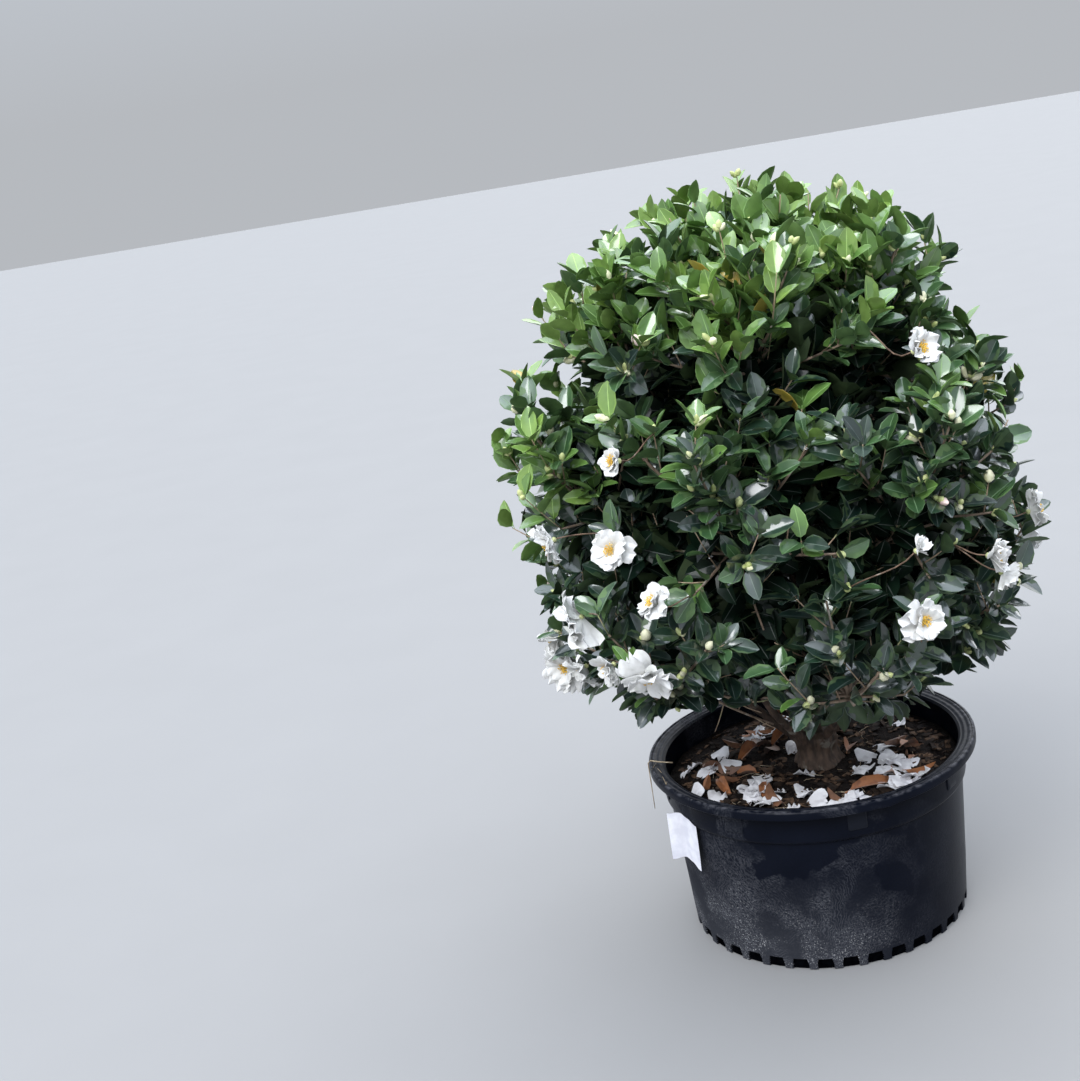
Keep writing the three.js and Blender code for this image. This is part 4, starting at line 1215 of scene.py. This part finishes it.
def twig_path(start, direction, length, rise):
    """A twig that bends up a little as it grows"""
    t = np.linspace(0, 1, max(3, round(length / 0.028) + 1))[:, None]
    return start + t * length * direction + UP * (rise * length * t**2)


def add_twig(plant, path, radii, sides):
    shape = tube(path, np.linspace(*radii, len(path)), sides)
    (plant.shoots if radii == TWIG_RADII else plant.twigs).append(shape)
    plant.twig_points.extend(path)


def grow_shoot(plant, rng, start, direction, mass, masses):
    """A straight young shoot that stands out of the top or the side of the crown"""
    direction = unit(direction + UP * rng.uniform(0.5, 1.1))
    room = room_along(start, direction, mass, masses, 1.0) - 0.028
    length = min(SHOOT_LONGEST * rng.uniform(0.55, 1.0), room)
    if length < SHORTEST_LIMB:
        return
    path = twig_path(start, direction, length, 0.05)
    add_twig(plant, path, TWIG_RADII, 5)
    clothe(plant, rng, path, spray_tint(rng, path[-1], 1.0, True), 0.020, True)


def grow_twigs(plant, rng, branchlet, mass, limit):
    """Twigs leave a branchlet by turns, shorter towards its tip"""
    total = length_of(branchlet)
    turn = rng.uniform(0, 360)
    for distance in np.arange(0.024, total - 0.004, TWIG_SPACING):
        point, heading = point_along(branchlet, distance / total)
        turn += math.degrees(2.4) + rng.uniform(-20, 20)
        out = turned(across(heading), heading, turn)
        lift = lerp(*TWIG_LIFT, smoothstep(point[2], 0.45, 1.00))
        direction = unit(out * 0.70 + heading * 0.45 + UP * lift)
        room = room_along(point, direction, mass, [], limit) - LEAF_ROOM
        wanted = lerp(TWIG_LONGEST, TWIG_LONGEST_AT_TIP, distance / total) * rng.uniform(0.7, 1.15)
        length = min(wanted, room)
        if length < SHORTEST_TWIG:
            continue
        twig = twig_path(point, direction, length, 0.14)
        outness = fullness(twig[-1])[0]
        if outness < 0.16:
            continue
        add_twig(plant, twig, TWIG_RADII, 4)
        clothe(plant, rng, twig, spray_tint(rng, twig[-1], outness), 0.020)


def grow_mass(plant, mass, masses, number):
    rng = np.random.default_rng(1000 + number)
    outward = mass["outward"]
    is_upper = mass["tier"] in ("upper", "top")
    start = mass["bough"][-1] - 0.004 * mass["heading"]
    end = mass["middle"] + SHANK_BEYOND_MIDDLE * outward
    shank = sweep(start, mass["heading"], end, outward, 14)
    add_twig(plant, shank, SHANK_RADII, 7)
    for i in range(BRANCHLETS):
        step = i / (BRANCHLETS - 1)
        foot, _ = point_along(shank, 0.30 + 0.70 * step)
        lean = math.degrees(math.acos(lerp(BRANCHLET_LOWEST, BRANCHLET_HIGHEST, step)))
        direction = turned(turned(outward, np.cross(outward, UP), lean), outward, i * GOLDEN_ANGLE)
        lift = lerp(*BRANCHLET_LIFT, smoothstep(foot[2], 0.6, 1.1))
        direction = unit(direction + UP * lift + rng.normal(0, 0.08, 3))
        # The crown's outline is uneven, and a little further in for the upper masses
        limit = (0.82 if is_upper else 0.87) + 0.14 * math.sin(7 * direction[0] + 5 * direction[1] + number)
        limit = min(limit, 1.0)
        to_border = room_along(foot, direction, mass, masses, limit)
        to_outline = room_along(foot, direction, mass, [], limit) - LEAF_ROOM
        length = min(BRANCHLET_LONGEST, to_border, to_outline)
        if length < SHORTEST_LIMB:
            continue
        branchlet = twig_path(foot, direction, length, 0.10)
        add_twig(plant, branchlet, BRANCHLET_RADII, 6)
        grow_twigs(plant, rng, branchlet, mass, limit)
        tip, heading = point_along(branchlet, 1.0)
        outness = fullness(tip)[0]
        clothe(plant, rng, branchlet, spray_tint(rng, tip, outness), 0.30 * length)
        wants_shoot = is_upper or tip[0] < -0.30
        if outness > 0.50 and rng.random() < (0.90 if wants_shoot else 0.18):
            grow_shoot(plant, rng, tip, heading, mass, masses)


def toned(colour, share, added):
    return tuple(share * channel + more for channel, more in zip(colour, added))


def green_materials():
    """For each tint, the finishes of a leaf's upper face, its lower face and its rib and rim, partly painted
    highlight
    """
    uppers = {
        "deep": ((0.0045, 0.0150, 0.0115), (0.0090, 0.0250, 0.0175)),
        "dark": ((0.0085, 0.0260, 0.0155), (0.0160, 0.0420, 0.0215)),
        "middle": ((0.0270, 0.0690, 0.0250), (0.0500, 0.1120, 0.0340)),
        "fresh": ((0.0720, 0.1560, 0.0320), (0.1180, 0.2260, 0.0460)),
        "pale": ((0.1200, 0.2250, 0.0380), (0.1850, 0.3050, 0.0560)),
        "yellowing": ((0.2600, 0.2200, 0.0300), (0.4200, 0.3000, 0.0400)),
        # Nearly black: painted shade for the leaves deep inside the crown
        "inner": ((0.0032, 0.0090, 0.0056), (0.0065, 0.0160, 0.0085)),
    }
    finishes = {}
    for tint, (dark, light) in uppers.items():
        upper = leaf_material("leaf_" + tint, dark, light, 0.15 if tint == "inner" else 1.0)
        below = toned(light, 0.55, (0.022, 0.036, 0.012)), toned(light, 0.80, (0.048, 0.072, 0.026))
        rib_and_rim_highlight = toned(light, 1.3, (0.045,) * 3), toned(light, 1.6, (0.090,) * 3)
        lower = underleaf_material("underleaf_" + tint, *below)
        finishes[tint] = [upper, lower, underleaf_material("rib_" + tint, *rib_and_rim_highlight)]
    return finishes


def make_foliage(plant, foliage_nodes):
    fine, plain = leaf_variants(), leaf_variants(plain=True)
    finishes = green_materials()
    for tint, places in plant.leaves.items():
        parts = math.ceil(len(places) / LEAVES_IN_A_PIECE)
        for part in range(parts):
            shape = placed_copies(plain if tint == "inner" else fine, places[part::parts])
            name = f"leaves_{tint}_{part + 1}" if parts > 1 else f"leaves_{tint}"
            make_piece(name, shape, finishes[tint], foliage_nodes, 50)
    old = (0.130, 0.088, 0.060), (0.300, 0.222, 0.160), (0.36, 0.33, 0.28)
    young = (0.230, 0.155, 0.100), (0.430, 0.320, 0.220), (0.30, 0.32, 0.15)
    twig_bark = bark_material("twig_bark", *old, 0.42)
    young_bark = bark_material("young_bark", *young, 0.42)
    make_piece("twigs", joined(plant.twigs), [twig_bark], foliage_nodes)
    make_piece("young_twigs", joined(plant.shoots), [young_bark], foliage_nodes)


def make_buds(plant):
    colours = {
        "green": ((0.34, 0.40, 0.12), (0.56, 0.60, 0.26)),
        "cream": ((0.50, 0.50, 0.25), (0.74, 0.72, 0.50)),
        "pink": ((0.62, 0.42, 0.38), (0.84, 0.66, 0.60)),
    }
    variants = [bud_shape(0.80), bud_shape(0.92), bud_shape(0.72, 1.15)]
    for kind, places in plant.buds.items():
        shaded, pale = colours[kind]
        finish = petal_material(f"bud_{kind}", pale, shaded)
        make_piece(f"buds_{kind}", placed_copies(variants, places), [finish])


def back_blossom_sites(rng):
    """Seeded flowers round the sides and the back"""
    sites = []
    spread = BACK_BLOSSOM["span"] / (BACK_BLOSSOM["count"] - 1)
    for i in range(BACK_BLOSSOM["count"]):
        azimuth = BACK_BLOSSOM["first_azimuth"] + i * spread + rng.uniform(-5, 5)
        h = lerp(BACK_BLOSSOM["low"], BACK_BLOSSOM["high"], rng.random())
        middle = np.array([CROWN["x"], 0, 0])
        radius = 0.30
        while fullness(polar(radius, azimuth, h) + middle)[0] < 0.84:
            radius += 0.004
        turn, rise = rng.uniform(-35, 35), rng.uniform(-35, 35)
        at = polar(radius, azimuth, h) + middle
        sites.append((at, turn, rise, rng.uniform(0.056, 0.088), rng.uniform(0.6, 1.0)))
    return sites


def blossom_materials():
    petals = petal_material("white_petals", (0.72, 0.715, 0.70), (0.58, 0.58, 0.54))
    filaments = petal_material("filaments", (0.84, 0.64, 0.14), (0.70, 0.50, 0.08))
    anthers = petal_material("anthers", (0.82, 0.52, 0.06), (0.62, 0.34, 0.03))
    calyx = petal_material("calyx", (0.50, 0.52, 0.24), (0.25, 0.30, 0.10))
    return [petals, filaments, anthers, calyx]


def make_blossom(plant, finishes):
    """Each flower at the end of a twig of its own, from the nearest twig of the crown"""
    rng = np.random.default_rng(71)
    known = np.array(plant.twig_points)
    flowers, stalks = [], []
    for at, turn, rise, size, opening in FRONT_BLOSSOM + back_blossom_sites(rng):
        at = np.array(at, float)
        outward = unit(np.array([at[0] - CROWN["x"], at[1], 0.0]))
        facing = turned(outward, UP, turn)
        facing = unit(turned(facing, np.cross(facing, UP), rise))
        flower = blossom_shape(rng, size, opening)
        spin = turned(across(facing), facing, rng.uniform(0, 360))
        axes = np.stack([spin, np.cross(facing, spin), facing])
        flowers.append(copies(flower, [at], axes[None], [1.0]))
        foot = at - facing * 0.0075
        nearest = known[np.argmin(np.linalg.norm(known - (foot - facing * 0.03), axis=1))]
        path = sweep(nearest, foot - nearest + 0.01 * UP, foot, facing + 0.2 * UP, 7)
        stalks.append(tube(path, np.linspace(0.0014, 0.0012, 7), 5))
    make_piece("blossom", joined(flowers), finishes, (), 60)
    colours = (0.060, 0.034, 0.020), (0.200, 0.125, 0.080), (0.30, 0.25, 0.20)
    bark = bark_material("flower_twigs", *colours, 0.40)
    make_piece("blossom_twigs", joined(stalks), [bark])


def lying(shape, spot, along, facing, size=1.0):
    """A shape laid on the mix at a spot, its lowest point a little way into it"""
    axes = facing_frames([along], [facing])
    lowest = (shape.points @ axes[0])[:, 2].min() * size
    origin = np.array([*spot, soil_height(*spot)[0] - SETTLED * lowest + 0.001])
    return copies(shape, [origin], axes, [size])


def dead_leaf(slot, *form):
    """A dry leaf round its own middle, all of one finish"""
    shape = leaf_shape(*form)
    return Shape(shape.points - shape.points.mean(axis=0), shape.faces, slot)


def make_petals(rng):
    """Fallen petals, some in heaps"""
    petals = []
    spots = []
    for at, spread, count in PETAL_HEAPS:
        spots += [np.array(at) + rng.normal(0, spread, 2) for _ in range(count)]
    spots += [np.array(soil_place(rng)) for _ in range(SINGLE_PETALS)]
    for spot in spots:
        if np.hypot(*spot) > SOIL_RADIUS - 0.030 or np.hypot(*(spot - TRUNK_AT[:2])) < TRUNK_FLARE + 0.018:
            continue
        length = rng.uniform(0.030, 0.047)
        grid = petal_grid(rng, length, length * rng.uniform(0.80, 1.10), rng.uniform(0.62, 0.95), 0.11, 6, 7)
        petal = sheet((grid - grid.mean(axis=(0, 1)))[:, ::-1], PETAL_THICKNESS)
        along = rng.normal(size=3) * np.array([1, 1, 0.12])
        petals.append(lying(petal, spot, along, UP * rng.choice([1, -1]) + rng.normal(0, 0.28, 3)))
    white = petal_material("fallen_petals", (0.84, 0.83, 0.85), (0.66, 0.64, 0.66))
    make_piece("fallen_petals", joined(petals), [white], (), 60)


def make_dead_leaves(rng):
    leaves = []
    for i in range(DEAD_LEAVES):
        spot = soil_place(rng, 0.06, SOIL_RADIUS - 0.045)
        size = rng.uniform(0.040, 0.062)
        form = [rng.uniform(*span) for span in ((0.15, 0.5), (0.5, 1.5), (-0.8, 0.8), (0.36, 0.6))]
        along = rng.normal(size=3) * np.array([1, 1, 0.15])
        facing = UP * rng.choice([1, -1]) + rng.normal(0, 0.3, 3)
        leaves.append(lying(dead_leaf(i % 2, *form), spot, along, facing, size))
    long_leaf = dead_leaf(0, 0.22, 0.9, 0.5, 0.24)
    along, facing = np.array([0.86, 0.50, 0.05]), np.array([0, -0.4, 1])
    leaves.append(lying(long_leaf, (0.095, -0.150), along, facing, 0.100))
    orange = petal_material("dead_leaves_orange", (0.34, 0.130, 0.045), (0.15, 0.055, 0.022))
    brown = petal_material("dead_leaves_brown", (0.20, 0.090, 0.045), (0.08, 0.035, 0.018))
    make_piece("dead_leaves_on_mix", joined(leaves), [orange, brown], (), 60)


# The whole scene

make_camera()
make_light()
make_floor()
make_pot()
make_soil()
make_fibres()
make_tag()

outer_stems = grow_stems(OUTER_STEMS)
inner_stems = grow_stems(INNER_STEMS)
all_masses = place_masses(outer_stems, inner_stems)
for mass in all_masses:
    add_bough(mass)
make_limbs(outer_stems + inner_stems, all_masses)

shrub = Plant()
for number, mass in enumerate(all_masses):
    grow_mass(shrub, mass, all_masses, number)
make_foliage(shrub, sorted(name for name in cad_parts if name.startswith("foliage_")))
make_buds(shrub)
make_blossom(shrub, blossom_materials())
litter_rng = np.random.default_rng(83)
make_petals(litter_rng)
make_dead_leaves(litter_rng)

bpy.context.view_layer.update()
